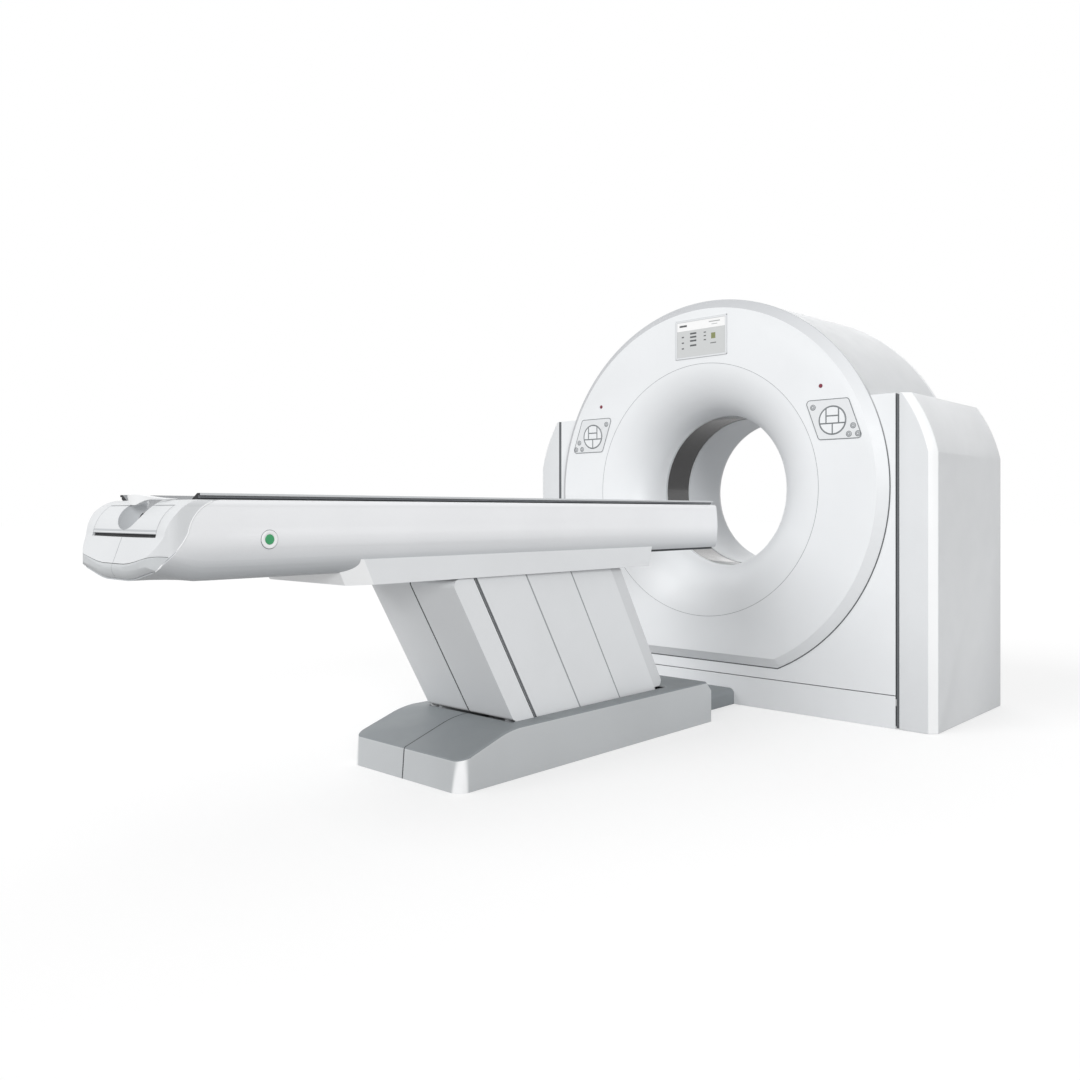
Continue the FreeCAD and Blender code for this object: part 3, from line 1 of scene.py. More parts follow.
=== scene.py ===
# %% [markdown]
# # A computed-tomography scanner, finished in Blender
# The scanner's main forms come from its CAD model, packed as a frame of nodes and moving bodies. This lesson
# loads the frame, sets the camera and the studio, and gives each visible piece rounded edges, a finish and the
# details that the solids leave out.

# %% Load the frame
import json
import math

import bmesh
import bpy
from mathutils import Matrix, Vector

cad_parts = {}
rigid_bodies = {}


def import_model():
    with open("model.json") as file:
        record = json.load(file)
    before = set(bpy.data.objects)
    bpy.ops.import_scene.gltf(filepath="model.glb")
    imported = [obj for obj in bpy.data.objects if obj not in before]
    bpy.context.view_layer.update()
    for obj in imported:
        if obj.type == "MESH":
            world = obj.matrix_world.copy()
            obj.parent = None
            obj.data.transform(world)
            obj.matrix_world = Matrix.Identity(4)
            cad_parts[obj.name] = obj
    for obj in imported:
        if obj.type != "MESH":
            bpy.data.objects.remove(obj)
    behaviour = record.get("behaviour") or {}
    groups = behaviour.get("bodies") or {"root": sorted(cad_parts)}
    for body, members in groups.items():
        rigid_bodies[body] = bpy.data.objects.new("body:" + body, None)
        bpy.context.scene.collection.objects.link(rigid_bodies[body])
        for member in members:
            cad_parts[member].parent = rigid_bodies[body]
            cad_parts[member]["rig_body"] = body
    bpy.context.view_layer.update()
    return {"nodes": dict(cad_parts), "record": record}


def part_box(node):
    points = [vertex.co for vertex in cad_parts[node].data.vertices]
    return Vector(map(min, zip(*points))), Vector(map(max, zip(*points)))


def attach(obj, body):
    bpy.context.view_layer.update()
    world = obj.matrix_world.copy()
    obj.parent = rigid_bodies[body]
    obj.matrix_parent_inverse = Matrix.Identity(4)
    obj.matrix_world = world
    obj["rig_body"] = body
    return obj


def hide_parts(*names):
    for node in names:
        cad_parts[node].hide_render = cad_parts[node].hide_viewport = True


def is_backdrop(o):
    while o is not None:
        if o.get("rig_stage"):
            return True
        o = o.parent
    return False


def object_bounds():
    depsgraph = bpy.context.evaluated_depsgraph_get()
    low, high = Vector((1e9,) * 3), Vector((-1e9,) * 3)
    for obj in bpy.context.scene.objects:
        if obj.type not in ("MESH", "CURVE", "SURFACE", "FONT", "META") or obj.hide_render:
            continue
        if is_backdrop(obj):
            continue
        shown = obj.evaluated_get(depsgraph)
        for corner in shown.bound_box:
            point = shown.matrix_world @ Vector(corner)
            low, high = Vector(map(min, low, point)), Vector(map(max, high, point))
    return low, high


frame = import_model()
scene = bpy.context.scene

# %% [markdown]
# The camera comes first. It stands in front and to the right of the table's foot end, 0.85 m above the floor.
# Tilted down, it would make upright edges lean towards each other. So it is held level, and a small shift of
# the lens moves the machine to its place in the picture.

# %% Camera
CAMERA_PLACE = (2.3858, -2.7410, 0.8487)
CAMERA_TURN = math.radians(42.8)
FOCAL_LENGTH = 31.75
SENSOR_WIDTH = 36
LENS_SHIFT = -0.0256

camera = bpy.data.objects.new("camera", bpy.data.cameras.new("camera"))
scene.collection.objects.link(camera)
camera.location = CAMERA_PLACE
camera.rotation_euler = (math.radians(90), 0, CAMERA_TURN)
camera.data.lens = FOCAL_LENGTH
camera.data.sensor_width = SENSOR_WIDTH
camera.data.sensor_fit = "HORIZONTAL"
camera.data.shift_y = LENS_SHIFT
scene.camera = camera
scene.view_settings.view_transform = "Standard"
print("camera at", CAMERA_PLACE, "with a lens of", FOCAL_LENGTH, "mm")

# %% [markdown]
# Each finish is a small net of shader nodes. The nodes could be added and linked one by one, but a plain sum
# would take ten lines. `Value` wraps one socket instead, and the usual operators add Math nodes to its net. The
# reflected ones, such as `__rsub__`, are for a number in front, as in 1 - mask.

# %% Sums of sockets
class Value:
    """A socket that can be used in sums."""

    def __init__(self, finish, socket):
        self.finish, self.socket = finish, socket

    def math(self, operation, first, second=None):
        inputs = {0: first} if second is None else {0: first, 1: second}
        return self.finish.node("Math", {"operation": operation}, inputs)

    def __add__(self, other):
        return self.math("ADD", self, other)

    def __radd__(self, other):
        return self.math("ADD", other, self)

    def __sub__(self, other):
        return self.math("SUBTRACT", self, other)

    def __rsub__(self, other):
        return self.math("SUBTRACT", other, self)

    def __mul__(self, other):
        return self.math("MULTIPLY", self, other)

    def __rmul__(self, other):
        return self.math("MULTIPLY", other, self)

    def absolute(self):
        return self.math("ABSOLUTE", self)

    def wave(self):
        return self.math("SINE", self)

    def above(self, limit):
        return self.math("GREATER_THAN", self, limit)

    def below(self, limit):
        return self.math("LESS_THAN", self, limit)

# %% [markdown]
# `Finish` makes one material around its Principled shader. Its `node` method adds any other node from a type,
# settings and inputs, and short methods give what most finishes share: a place, noise, a range, a mix, a bump.

# %% One finish
class Finish:
    """One procedural material and the nodes in it."""

    def __init__(self, name):
        self.material = bpy.data.materials.new(name)
        self.material.use_nodes = True
        self.tree = self.material.node_tree
        self.shader = self.tree.nodes["Principled BSDF"]

    def node(self, kind, settings=None, inputs=None, output=0):
        made = self.tree.nodes.new("ShaderNode" + kind)
        for key, value in (settings or {}).items():
            setattr(made, key, value)
        self.feed(made, inputs or {})
        return Value(self, made.outputs[output])

    def feed(self, made, inputs):
        for key, value in inputs.items():
            if isinstance(value, Value):
                self.tree.links.new(value.socket, made.inputs[key])
            else:
                made.inputs[key].default_value = value

    def place(self):
        """Object coordinates, in metres."""
        return self.node("TexCoord", output="Object")

    def axes(self):
        split = self.node("SeparateXYZ", inputs={0: self.place()}).socket.node
        return [Value(self, out) for out in split.outputs]

    def noise(self, scale, detail=2.0):
        return self.node("TexNoise", inputs={"Vector": self.place(), "Scale": scale, "Detail": detail})

    def range(self, value, low, high, to_low, to_high):
        return self.node("MapRange", {"interpolation_type": "SMOOTHSTEP"},
                         {"Value": value, 1: low, 2: high, 3: to_low, 4: to_high})

    def mix(self, factor, first, second):
        return self.node("Mix", {"data_type": "RGBA"}, {0: factor, 6: first, 7: second}, output=2)

    def bump(self, height, strength, distance):
        return self.node("Bump", inputs={"Height": height, "Strength": strength, "Distance": distance})

    def set(self, **sockets):
        self.feed(self.shader, {name.replace("_", " "): value for name, value in sockets.items()})
        return self

# %% [markdown]
# Colours were judged from the picture as display values from 0 to 255. Shaders count in linear light, where a
# mid grey is much lower, so `rgb` turns one into the other. `shade` makes a colour lighter or darker.

# %% Colours
def rgb(red, green, blue):
    def linear(v):
        v /= 255
        return v / 12.92 if v <= 0.04045 else ((v + 0.055) / 1.055) ** 2.4
    return (linear(red), linear(green), linear(blue), 1.0)


def shade(colour, factor):
    return tuple(min(1.0, c * factor) for c in colour[:3]) + (1.0,)


print(f"a mid grey of 128 in linear light: {rgb(128, 128, 128)[0]:.3f}")

# %% [markdown]
# The machine stands on a pale floor that runs out to a white horizon. A backdrop curved up behind it would do
# for one view, but its edge would show from the other sides. This floor adds a little light of its own for the
# camera alone, so that it meets the white background and still shows the machine's soft shadow.

# %% Floor
FLOOR_HALF = 60.0
FLOOR_DROP = 0.0005
FLOOR_TONE = 0.52
FLOOR_GLOW = 0.50

form = bmesh.new()
bmesh.ops.create_grid(form, x_segments=2, y_segments=2, size=FLOOR_HALF)
bmesh.ops.translate(form, verts=form.verts, vec=(0, 0, -FLOOR_DROP))
data = bpy.data.meshes.new("studio_floor")
form.to_mesh(data)
form.free()
floor = bpy.data.objects.new("studio_floor", data)
scene.collection.objects.link(floor)
pale = Finish("studio_floor_pale")
seen = pale.node("LightPath", output="Is Camera Ray")
glow = pale.node("Emission", inputs={"Color": (1, 1, 1, 1), "Strength": FLOOR_GLOW})
pale.set(Base_Color=(FLOOR_TONE, FLOOR_TONE, FLOOR_TONE, 1), Roughness=1.0, Specular_IOR_Level=0.0)
body = Value(pale, pale.shader.outputs[0])
lit = pale.node("AddShader", inputs={0: body, 1: glow})
surface = pale.node("MixShader", inputs={0: seen, 1: body, 2: lit})
pale.tree.links.new(surface.socket, pale.tree.nodes["Material Output"].inputs["Surface"])
floor.data.materials.append(pale.material)
floor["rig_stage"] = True
print("floor:", 2 * FLOOR_HALF, "m wide")

# %% [markdown]
# An even white sky gives the soft light of a large studio. Area lamps could do it, but each would fade over the
# machine's 3.5 m. The camera and the reflections see the sky at full white; it lights with less.

# %% Sky
SKY_STRENGTH = 0.64

world = bpy.data.worlds.new("studio_sky")
scene.world = world
world.use_nodes = True
tree = world.node_tree
path = tree.nodes.new("ShaderNodeLightPath")
seen = tree.nodes.new("ShaderNodeMath")
seen.operation = "MAXIMUM"
tree.links.new(path.outputs["Is Camera Ray"], seen.inputs[0])
tree.links.new(path.outputs["Is Glossy Ray"], seen.inputs[1])
level = tree.nodes.new("ShaderNodeMapRange")
tree.links.new(seen.outputs[0], level.inputs["Value"])
level.inputs["To Min"].default_value = SKY_STRENGTH
level.inputs["To Max"].default_value = 1.0
tree.links.new(level.outputs[0], tree.nodes["Background"].inputs["Strength"])
tree.nodes["Background"].inputs["Color"].default_value = (1, 1, 1, 1)
print("sky strength:", SKY_STRENGTH)

# %% [markdown]
# Three suns with wide discs model the forms: from the front left, low from the right and from behind. Suns
# don't fade with distance, so the gantry is lit like the table's foot end. Wide discs keep the shadows soft.

# %% Suns
SUNS = {
    # name: direction, strength, width of the disc in degrees
    "sun_front": ((-0.33, -0.75, 0.57), 1.10, 40),
    "sun_right": ((0.82, -0.56, 0.26), 1.10, 16),
    "sun_back": ((-0.40, 0.80, 0.45), 0.60, 60),
}

for name, (towards, strength, spread) in SUNS.items():
    lamp = bpy.data.objects.new(name, bpy.data.lights.new(name, "SUN"))
    scene.collection.objects.link(lamp)
    lamp.rotation_euler = Vector(towards).to_track_quat("Z", "Y").to_euler()
    lamp.data.energy = strength
    lamp.data.angle = math.radians(spread)
print("suns:", ", ".join(SUNS))

# %% [markdown]
# Most of the machine is white moulded cover, with a very fine texture and a little uneven in tone and gloss. A
# flat colour would look like paper, and an image texture would need unwrapping, so noise in Object coordinates
# varies both. Grey and dark parts use the same recipe.

# %% Moulded covers
NOISE_SPAN = (0.3, 0.7)     # noise hardly ever leaves this range


def moulded(name, colour, roughness=0.42, grain=900.0, depth=0.00012, mottle=0.02, second=None, amount=None):
    """A cover's finish; `amount` gives how much of the second colour there is at a place."""
    finish = Finish(name)
    cloud = finish.noise(2.3, 3.0)
    tone = finish.range(cloud, *NOISE_SPAN, 0.0, 1.0)
    gloss = finish.range(finish.noise(11.0), *NOISE_SPAN, roughness * 0.92, roughness * 1.08)
    base = finish.mix(tone, shade(colour, 1 - mottle), shade(colour, 1 + mottle))
    if amount:
        base = finish.mix(amount(finish), base, second)
    return finish.set(Base_Color=base, Roughness=gloss, Normal=finish.bump(finish.noise(grain), 0.25, depth))


cover_white = moulded("cover_white", rgb(236, 238, 240))
print("nodes in a cover's finish:", len(cover_white.tree.nodes))

# %% [markdown]
# Hidden parts are turned metal and painted castings. On the metal, noise drawn out along one axis makes fine
# streaks. On the castings, coarser noise makes pits in the paint. They hardly show, so this is enough.

# %% Metal and castings
def brushed_metal(name, colour, roughness=0.38):
    finish = Finish(name)
    x, y, z = finish.axes()
    streak = finish.node("TexNoise", inputs={"Vector": finish.node(
        "CombineXYZ", inputs={0: x * 900.0, 1: y * 30.0, 2: z * 900.0}), "Scale": 1.0, "Detail": 2.0})
    worn = finish.range(streak, *NOISE_SPAN, roughness * 0.8, roughness * 1.2)
    return finish.set(Base_Color=finish.mix(streak, shade(colour, 0.9), shade(colour, 1.06)), Metallic=0.9,
                      Roughness=worn, Normal=finish.bump(streak, 0.15, 0.0002))


def cast_paint(name, colour):
    finish = Finish(name)
    pits = finish.noise(260.0, 4.0)
    tone = finish.range(finish.noise(6.0, 3.0), 0.35, 0.65, 0.0, 1.0)
    worn = finish.range(pits, *NOISE_SPAN, 0.5, 0.65)
    return finish.set(Base_Color=finish.mix(tone, shade(colour, 0.92), shade(colour, 1.05)), Roughness=worn,
                      Normal=finish.bump(pits, 0.4, 0.0004))

# %% [markdown]
# Some covers change tone over their length, through painted light and shade: the plinth's corners have a painted
# highlight, the table's belly painted shade, and the round cover's bevel goes from painted shade, grey at the
# upper left, to painted light, white at the lower right. More lamps could give that, but they would change all
# the rest. So two colours are mixed by place.

# %% Painted highlight and shade that change with the place
CORNER_FROM, CORNER_TO = 1.040, 1.050
BELLY_TOP, BELLY_BOTTOM = 0.80, 0.686


def corner_highlight(finish):
    x, y, _ = finish.axes()
    return finish.range(x.absolute() - y, CORNER_FROM, CORNER_TO, 0.0, 1.0)


def belly_shade(finish):
    return finish.range(finish.axes()[2], BELLY_TOP, BELLY_BOTTOM, 0.0, 1.0)


def rim_light_and_shade(finish, low, high):
    x, _, z = finish.axes()
    return finish.range(x * 0.6 - z * 0.8, low, high, 0.0, 1.0)


print(f"the table's belly darkens over {BELLY_TOP - BELLY_BOTTOM:.3f} m")

# %% [markdown]
# Now each part gets its colour. Nearly all are light greys a few steps apart, because a white machine in white
# light is drawn by small steps of tone. Some of them are painted light and shade, as noted beside each.

# %% The machine's finishes
cover_shell = moulded("cover_shell", rgb(221, 223, 225))
# The second colour is painted shade that darkens the table's belly towards the bottom.
table_white = moulded("table_white", rgb(243, 244, 246), 0.4, second=rgb(184, 187, 190), amount=belly_shade)
cap_white = moulded("cap_white", rgb(216, 218, 220), 0.4)
# The bevel has painted shade at its upper left and painted light at its lower right.
bevel_light_and_shade = moulded("bevel_light_and_shade", rgb(188, 190, 193), second=rgb(232, 234, 236),
                     amount=lambda finish: rim_light_and_shade(finish, -1.50, -0.30))
# The line round the rim is painted shadow, dark at the lower right.
rim_shadow_line = moulded("rim_shadow_line", rgb(204, 206, 208), 0.6, second=rgb(92, 95, 98),
                   amount=lambda finish: rim_light_and_shade(finish, -0.80, -0.25))
# A painted highlight for the skirt's foot end and the edge of the pedestal's end cover.
edge_highlight = moulded("edge_highlight", rgb(251, 252, 253), 0.36)
# A painted highlight on the towers' chamfers.
chamfer_highlight = moulded("chamfer_highlight", rgb(241, 242, 243), 0.4)
bumper_grey = moulded("bumper_grey", rgb(196, 199, 201), 0.4)
outline_grey = moulded("outline_grey", rgb(126, 130, 133), 0.5)
# Painted shade on the towers' outer and sloping sides.
side_shade = moulded("side_shade", rgb(209, 211, 213))
# Painted shade: a darker white for the casing.
casing_shade = moulded("casing_shade", rgb(202, 204, 206))
pedestal_white = moulded("pedestal_white", rgb(229, 231, 233), 0.42)
pedestal_shade = moulded("pedestal_shade", rgb(216, 218, 220), 0.46)
# The plinth's sides, with a painted highlight on their rounded corners.
plinth_side = moulded("plinth_side", rgb(194, 197, 199), 0.36, second=rgb(248, 249, 250), amount=corner_highlight)
plinth_top = moulded("plinth_top", rgb(136, 141, 144), 0.55)
liner_grey = moulded("liner_grey", rgb(214, 217, 220), 0.38)
panel_grey = moulded("panel_grey", rgb(227, 229, 231), 0.4)
key_grey = moulded("key_grey", rgb(236, 238, 240), 0.45, depth=0.00006)
line_grey = moulded("line_grey", rgb(108, 112, 116), 0.5)
hairline_grey = moulded("hairline_grey", rgb(160, 163, 166), 0.5)
# Painted shade in the slots beside the towers and along the first slat's foot edge.
groove_shade = moulded("groove_shade", rgb(96, 99, 102), 0.6)
gasket_dark = moulded("gasket_dark", rgb(62, 65, 68), 0.7, 600.0)
# Black for the rim caps and the cradle's open end, and painted shade for the foot slot.
black_and_slot_shade = moulded("black_and_slot_shade", rgb(34, 35, 37), 0.75, 600.0)
handle_white = moulded("handle_white", rgb(244, 245, 246), 0.3)
rim_grey = moulded("rim_grey", rgb(205, 208, 210), 0.4)
metal = brushed_metal("rotor_metal", (0.62, 0.63, 0.65, 1.0))
casting = cast_paint("casting_grey", rgb(176, 179, 182))
print("finishes so far:", len(bpy.data.materials))

# %% [markdown]
# The scan window is a thin dark film, smooth and glossy, that lets x-rays through. The lasers shine through
# small red lenses. The green button is a satin plastic cap with a faint painted glow. Glass shaders would show
# an empty machine behind them, so all three are opaque with a clear coat.

# %% Window, lens and button finishes
def glossy(name, colour, roughness, coat=0.5, glow=None):
    finish = Finish(name)
    haze = finish.range(finish.noise(24.0, 3.0), *NOISE_SPAN, roughness * 0.8, roughness * 1.3)
    tone = finish.range(finish.noise(5.0), *NOISE_SPAN, 0.0, 1.0)
    finish.set(Base_Color=finish.mix(tone, shade(colour, 0.94), shade(colour, 1.05)), Roughness=haze,
               Coat_Weight=coat, Coat_Roughness=0.05)
    # This emission is a painted glow.
    if glow is not None:
        finish.set(Emission_Color=glow, Emission_Strength=0.25)
    return finish


window_dark = glossy("window_dark", rgb(46, 45, 46), 0.2)
laser_red = glossy("laser_red", rgb(122, 24, 50), 0.3, 0.3)
# The green button's faint emission is a painted glow.
button_green = glossy("button_green", rgb(52, 140, 92), 0.3, 0.3, rgb(40, 140, 80))
print("finishes now:", len(bpy.data.materials))

# %% [markdown]
# The cradle is a carbon-fibre shell. Its weave is a fine twill: two sets of slanting bands cross, shinier than
# the gaps. Two sine waves make it, because a checker texture has hard edges that flicker from afar.

# %% Carbon cradle
WEAVE = 900.0


def twill(name, colour):
    finish = Finish(name)
    x, y, _ = finish.axes()
    first = ((x + y) * WEAVE).wave()
    second = ((x - y) * WEAVE).wave()
    cloth = finish.range(first * second, -0.6, 0.6, 0.0, 1.0)
    return finish.set(Base_Color=finish.mix(cloth, shade(colour, 0.82), shade(colour, 1.16)),
                      Roughness=finish.range(cloth, 0.0, 1.0, 0.44, 0.32),
                      Normal=finish.bump(cloth, 0.3, 0.00015), Coat_Weight=0.3, Coat_Roughness=0.2)


cradle_dark = twill("cradle_dark", rgb(120, 123, 127))
print(f"weave repeats every {1000 * math.tau / WEAVE:.1f} mm")

# %% [markdown]
# Every piece is drawn as a bmesh in the machine's own frame, with its object at the origin. `add_piece` makes
# the object, smooths it up to its sharp edges and lets a Bevel modifier round those. Rounding by hand would fix
# the radius for good; the modifier keeps the form simple and the radius a number.

# %% Adding a piece
def body_of(node):
    return frame["nodes"][node]["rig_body"]


def slot_of(node):
    return next(s["material_slot"] for s in frame["record"]["subparts"] if s["node"] == node)


def add_piece(name, form, finish, body, slot, bevel=0.0, segments=2, angle=30.0, extra=()):
    data = bpy.data.meshes.new(name)
    form.to_mesh(data)
    form.free()
    for polygon in data.polygons:
        polygon.use_smooth = True
    data.set_sharp_from_angle(angle=math.radians(angle))
    piece = bpy.data.objects.new(name, data)
    scene.collection.objects.link(piece)
    for one in (finish, *extra):
        data.materials.append(one.material)
    if bevel:
        round_off = piece.modifiers.new("rounded_edges", "BEVEL")
        round_off.width = bevel
        round_off.segments = segments
        round_off.limit_method = "ANGLE"
        round_off.angle_limit = math.radians(angle)
        round_off.harden_normals = True
        round_off.use_clamp_overlap = True
    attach(piece, body)
    return piece


print("bodies to ride on:", len({body_of(node) for node in frame["nodes"]}))

# %% [markdown]
# A moulded cover has no sharp edges, but the CAD mesh has, and its flat faces are split into loose triangles.
# A bevel on the node itself would find no whole edge there. So `copy_of` joins the triangles and dissolves the
# flat ones into whole faces. `dressed` then lets the copy stand in for the node and ride on the node's body.

# %% Dressing a CAD node
MERGE = 2e-6


def copy_of(node):
    form = bmesh.new()
    form.from_mesh(frame["nodes"][node].data)
    bmesh.ops.remove_doubles(form, verts=form.verts, dist=MERGE)
    bmesh.ops.dissolve_limit(form, angle_limit=math.radians(0.3), verts=form.verts, edges=form.edges)
    bmesh.ops.recalc_face_normals(form, faces=form.faces)
    for face in form.faces:
        face.material_index = 0
    return form


def dressed(node, finish, bevel=0.0015, segments=2, shape=None, extra=(), angle=30.0):
    form = copy_of(node)
    if shape:
        shape(form)
    piece = add_piece(node + "_finished", form, finish, body_of(node), slot_of(node), bevel, segments,
                      angle, extra)
    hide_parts(node)


def both(name):
    return name + "_right", name + "_left"


print("nodes that can be dressed:", len(frame["nodes"]))

# %% [markdown]
# A few trims are thin plates with round corners. A scaled cube would have hard ones. So a single face gets its
# size and place, its four corners are bevelled, and it is drawn up to the plate's thickness.

# %% Plates with round corners
CORNER_STEPS = 6


def risen(form, shift):
    """Draws all faces of a flat form along a shift and closes it."""
    made = bmesh.ops.extrude_face_region(form, geom=form.faces[:])
    moved = [v for v in made["geom"] if isinstance(v, bmesh.types.BMVert)]
    bmesh.ops.translate(form, verts=moved, vec=shift)
    bmesh.ops.recalc_face_normals(form, faces=form.faces)


def plate(middle, half, corner, shift, upright=False):
    """A plate of twice the half sizes; an upright one faces the table."""
    form = bmesh.new()
    bmesh.ops.create_grid(form, x_segments=1, y_segments=1, size=1.0)
    bmesh.ops.scale(form, verts=form.verts, vec=(*half, 1))
    if upright:
        bmesh.ops.rotate(form, verts=form.verts, matrix=Matrix.Rotation(math.radians(90), 3, "X"))
    bmesh.ops.translate(form, verts=form.verts, vec=middle)
    bmesh.ops.bevel(form, geom=form.verts[:], offset=corner, offset_type="OFFSET", segments=CORNER_STEPS,
                    profile=0.5, affect="VERTICES", material=-1)
    risen(form, shift)
    return form


def lying_plate(low, high, corner, bottom, top):
    middle = ((low[0] + high[0]) / 2, (low[1] + high[1]) / 2, bottom)
    half = ((high[0] - low[0]) / 2, (high[1] - low[1]) / 2)
    return plate(middle, half, corner, (0, 0, top - bottom))


print("corners of plates have", CORNER_STEPS, "steps")

# %% [markdown]
# The gantry is two towers, the round bevelled cover between them, and the casing behind. Some faces of a cover
# get painted light and others painted shade. Cutting the cover apart would open seams, so such faces get a
# second material by where they lie and which way they look.

# %% Which faces get a second finish
TOWER_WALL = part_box("tower_cover_right")[0][0]
CASING_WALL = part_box("drum_casing")[1][0]
FRONT_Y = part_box("front_panel")[0][1]
SLOT_DEPTH = 0.03


def sliced(form, point, normal, **options):
    everything = form.verts[:] + form.edges[:] + form.faces[:]
    return bmesh.ops.bisect_plane(form, geom=everything, plane_co=point, plane_no=normal, **options)


def second_where(wanted):
    """Gives the second finish to the faces whose normal is as wanted."""
    def shape(form):
        for face in form.faces:
            if wanted(face.normal):
                face.material_index = 1
    return shape


def slot_wall_shade(form):
    """The two walls of the slot beside each tower get painted shade near the front."""
    depth = FRONT_Y + SLOT_DEPTH
    sliced(form, (0, depth, 0), (0, 1, 0))
    for face in form.faces:
        middle = face.calc_center_median()
        side = abs(middle.x)
        in_slot = min(abs(side - TOWER_WALL), abs(side - CASING_WALL)) < 0.001
        if abs(face.normal.x) > 0.99 and in_slot and middle.y < depth:
            face.material_index = 1


def tower_sides(form):
    """Painted shade in the slot, a painted highlight on the chamfer, a little painted shade on the outer side.
    """
    slot_wall_shade(form)
    for face in form.faces:
        if face.normal.y < -0.3 and abs(face.normal.x) > 0.3:
            face.material_index = 2
        elif abs(face.normal.x) > 0.4 and face.material_index == 0:
            face.material_index = 3


# The bevel's faces carry its painted shade and light.
grey_bevel = second_where(lambda normal: -0.93 < normal.y < -0.2)
print(f"tower wall at {TOWER_WALL:.3f}, casing wall at {CASING_WALL:.3f}")

# %% [markdown]
# The gantry's front covers are dressed one by one. One radius for all would make the towers look hard or the
# thin panel look melted, so large covers get a soft edge of a few millimetres and thin ones a small one.

# %% Gantry covers
for node in both("tower_cover"):
    dressed(node, cover_shell, 0.004, 3, tower_sides, (groove_shade, chamfer_highlight, side_shade))
dressed("front_cover", cover_white, 0.0025, 3, grey_bevel, (bevel_light_and_shade,))
dressed("front_panel", cover_white, 0.0012)
dressed("drum_casing", casing_shade, 0.0015, 2, slot_wall_shade, (groove_shade,))

# %% [markdown]
# Between each tower and the round cover is an upright slot. It shows grey, and no light falls through. The
# walls' painted shade alone would leave it open, so a thin plate in the same dark grey of painted shade stands
# in it a little behind the front.

# %% Slots beside the towers
slot_top = min(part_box(node)[1][2] for node in ("front_panel", "tower_cover_right")) - 0.006
for name, side in (("right", 1), ("left", -1)):
    ends = sorted((side * (CASING_WALL + 0.0030), side * (TOWER_WALL + 0.0005)))
    fill = lying_plate((ends[0], FRONT_Y + 0.0035), (ends[1], FRONT_Y + 0.014), 0.001, 0.004, slot_top)
    add_piece("slot_fill_" + name, fill, groove_shade, "base", "cover_white")
print(f"slots are {TOWER_WALL - CASING_WALL:.4f} m wide and end at {slot_top:.3f}")

# %% [markdown]
# Round the bore lie the funnel, the liner, the dark scan window and two laser lenses. The funnel and the rear
# cover are curved in flat steps. A limit of 30 degrees could leave a hard edge between two, so theirs is 40.

# %% Bore, rear and base covers
dressed("bore_funnel", cover_white, 0.0008, 2, angle=40)
dressed("rear_cover", cover_shell, 0.002, 2, angle=40)
dressed("base_cover_front", cover_white, 0.001)
dressed("base_cover_rear", cover_shell, 0.001)
dressed("bore_liner", liner_grey, 0.0006)
dressed("scan_window", window_dark, 0.0005)
for node in both("laser_window"):
    dressed(node, laser_red, 0.0012, 3)

# %% [markdown]
# Rings about the bore are turned: a small closed section is drawn once beside the axis and spun a full turn. A
# torus would only give a round section. `cut_away` takes a flat cut off a form and closes it again.

# %% Turned rings
window_low, window_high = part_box("scan_window")
AXIS = Vector((0, 0, (window_low[2] + window_high[2]) / 2))


def turned(section, centre, axis, steps, merge):
    """A full turn of a closed section about an axis through a centre."""
    form = bmesh.new()
    corners = [form.verts.new(place) for place in section]
    edges = [form.edges.new((a, b)) for a, b in zip(corners, corners[1:] + corners[:1])]
    bmesh.ops.spin(form, geom=corners + edges, cent=centre, axis=axis, angle=math.tau, steps=steps,
                   use_merge=True)
    bmesh.ops.remove_doubles(form, verts=form.verts, dist=merge)
    bmesh.ops.recalc_face_normals(form, faces=form.faces)
    return form


def spun_ring(section):
    """A ring about the bore from (radius, y) points."""
    return turned([(radius, y, AXIS.z) for radius, y in section], AXIS, (0, 1, 0), 180, 1e-5)


def band(radius_low, radius_high, y_low, y_high):
    return [(radius_low, y_low), (radius_high, y_low), (radius_high, y_high), (radius_low, y_high)]


def cut_away(form, point, normal):
    """Cuts off what lies on the normal's side of a plane and closes the cut."""
    cut = sliced(form, point, normal, clear_outer=True)
    edges = [e for e in cut["geom_cut"] if isinstance(e, bmesh.types.BMEdge)]
    bmesh.ops.edgeloop_fill(form, edges=edges)


print(f"the bore's axis is {AXIS.z:.3f} m high")

# %% [markdown]
# Three rings trim the bore: a fine line where the funnel meets the round cover, and a pale band on each edge of
# the scan window. Behind the round cover lies a ring with the same flat bottom, which shows as a thin line of
# painted shadow, dark at the lower right and pale at the upper left. A larger copy of the cover would do for it,
# but a turned ring with a flat cut has far fewer faces.

# %% Trims of the bore
FACE_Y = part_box("front_cover")[0][1]
FUNNEL_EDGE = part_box("bore_funnel")[1][0]
BORE = 0.350
CHEEK_RIM = 0.851
RIM_SHADOW_INNER = 0.755
RIM_SHADOW_LIP = 0.0034

seam = band(FUNNEL_EDGE - 0.0006, FUNNEL_EDGE + 0.0012, FACE_Y - 0.0004, FACE_Y + 0.002)
add_piece("funnel_seam", spun_ring(seam), hairline_grey, "tilting_body", "cover_white")
for name, y in (("window_band_front", window_low[1]), ("window_band_back", window_high[1])):
    ring = spun_ring(band(BORE - 0.0018, BORE + 0.001, y - 0.006, y + 0.006))
    add_piece(name, ring, rim_grey, "tilting_body", "liner_grey", 0.0006)

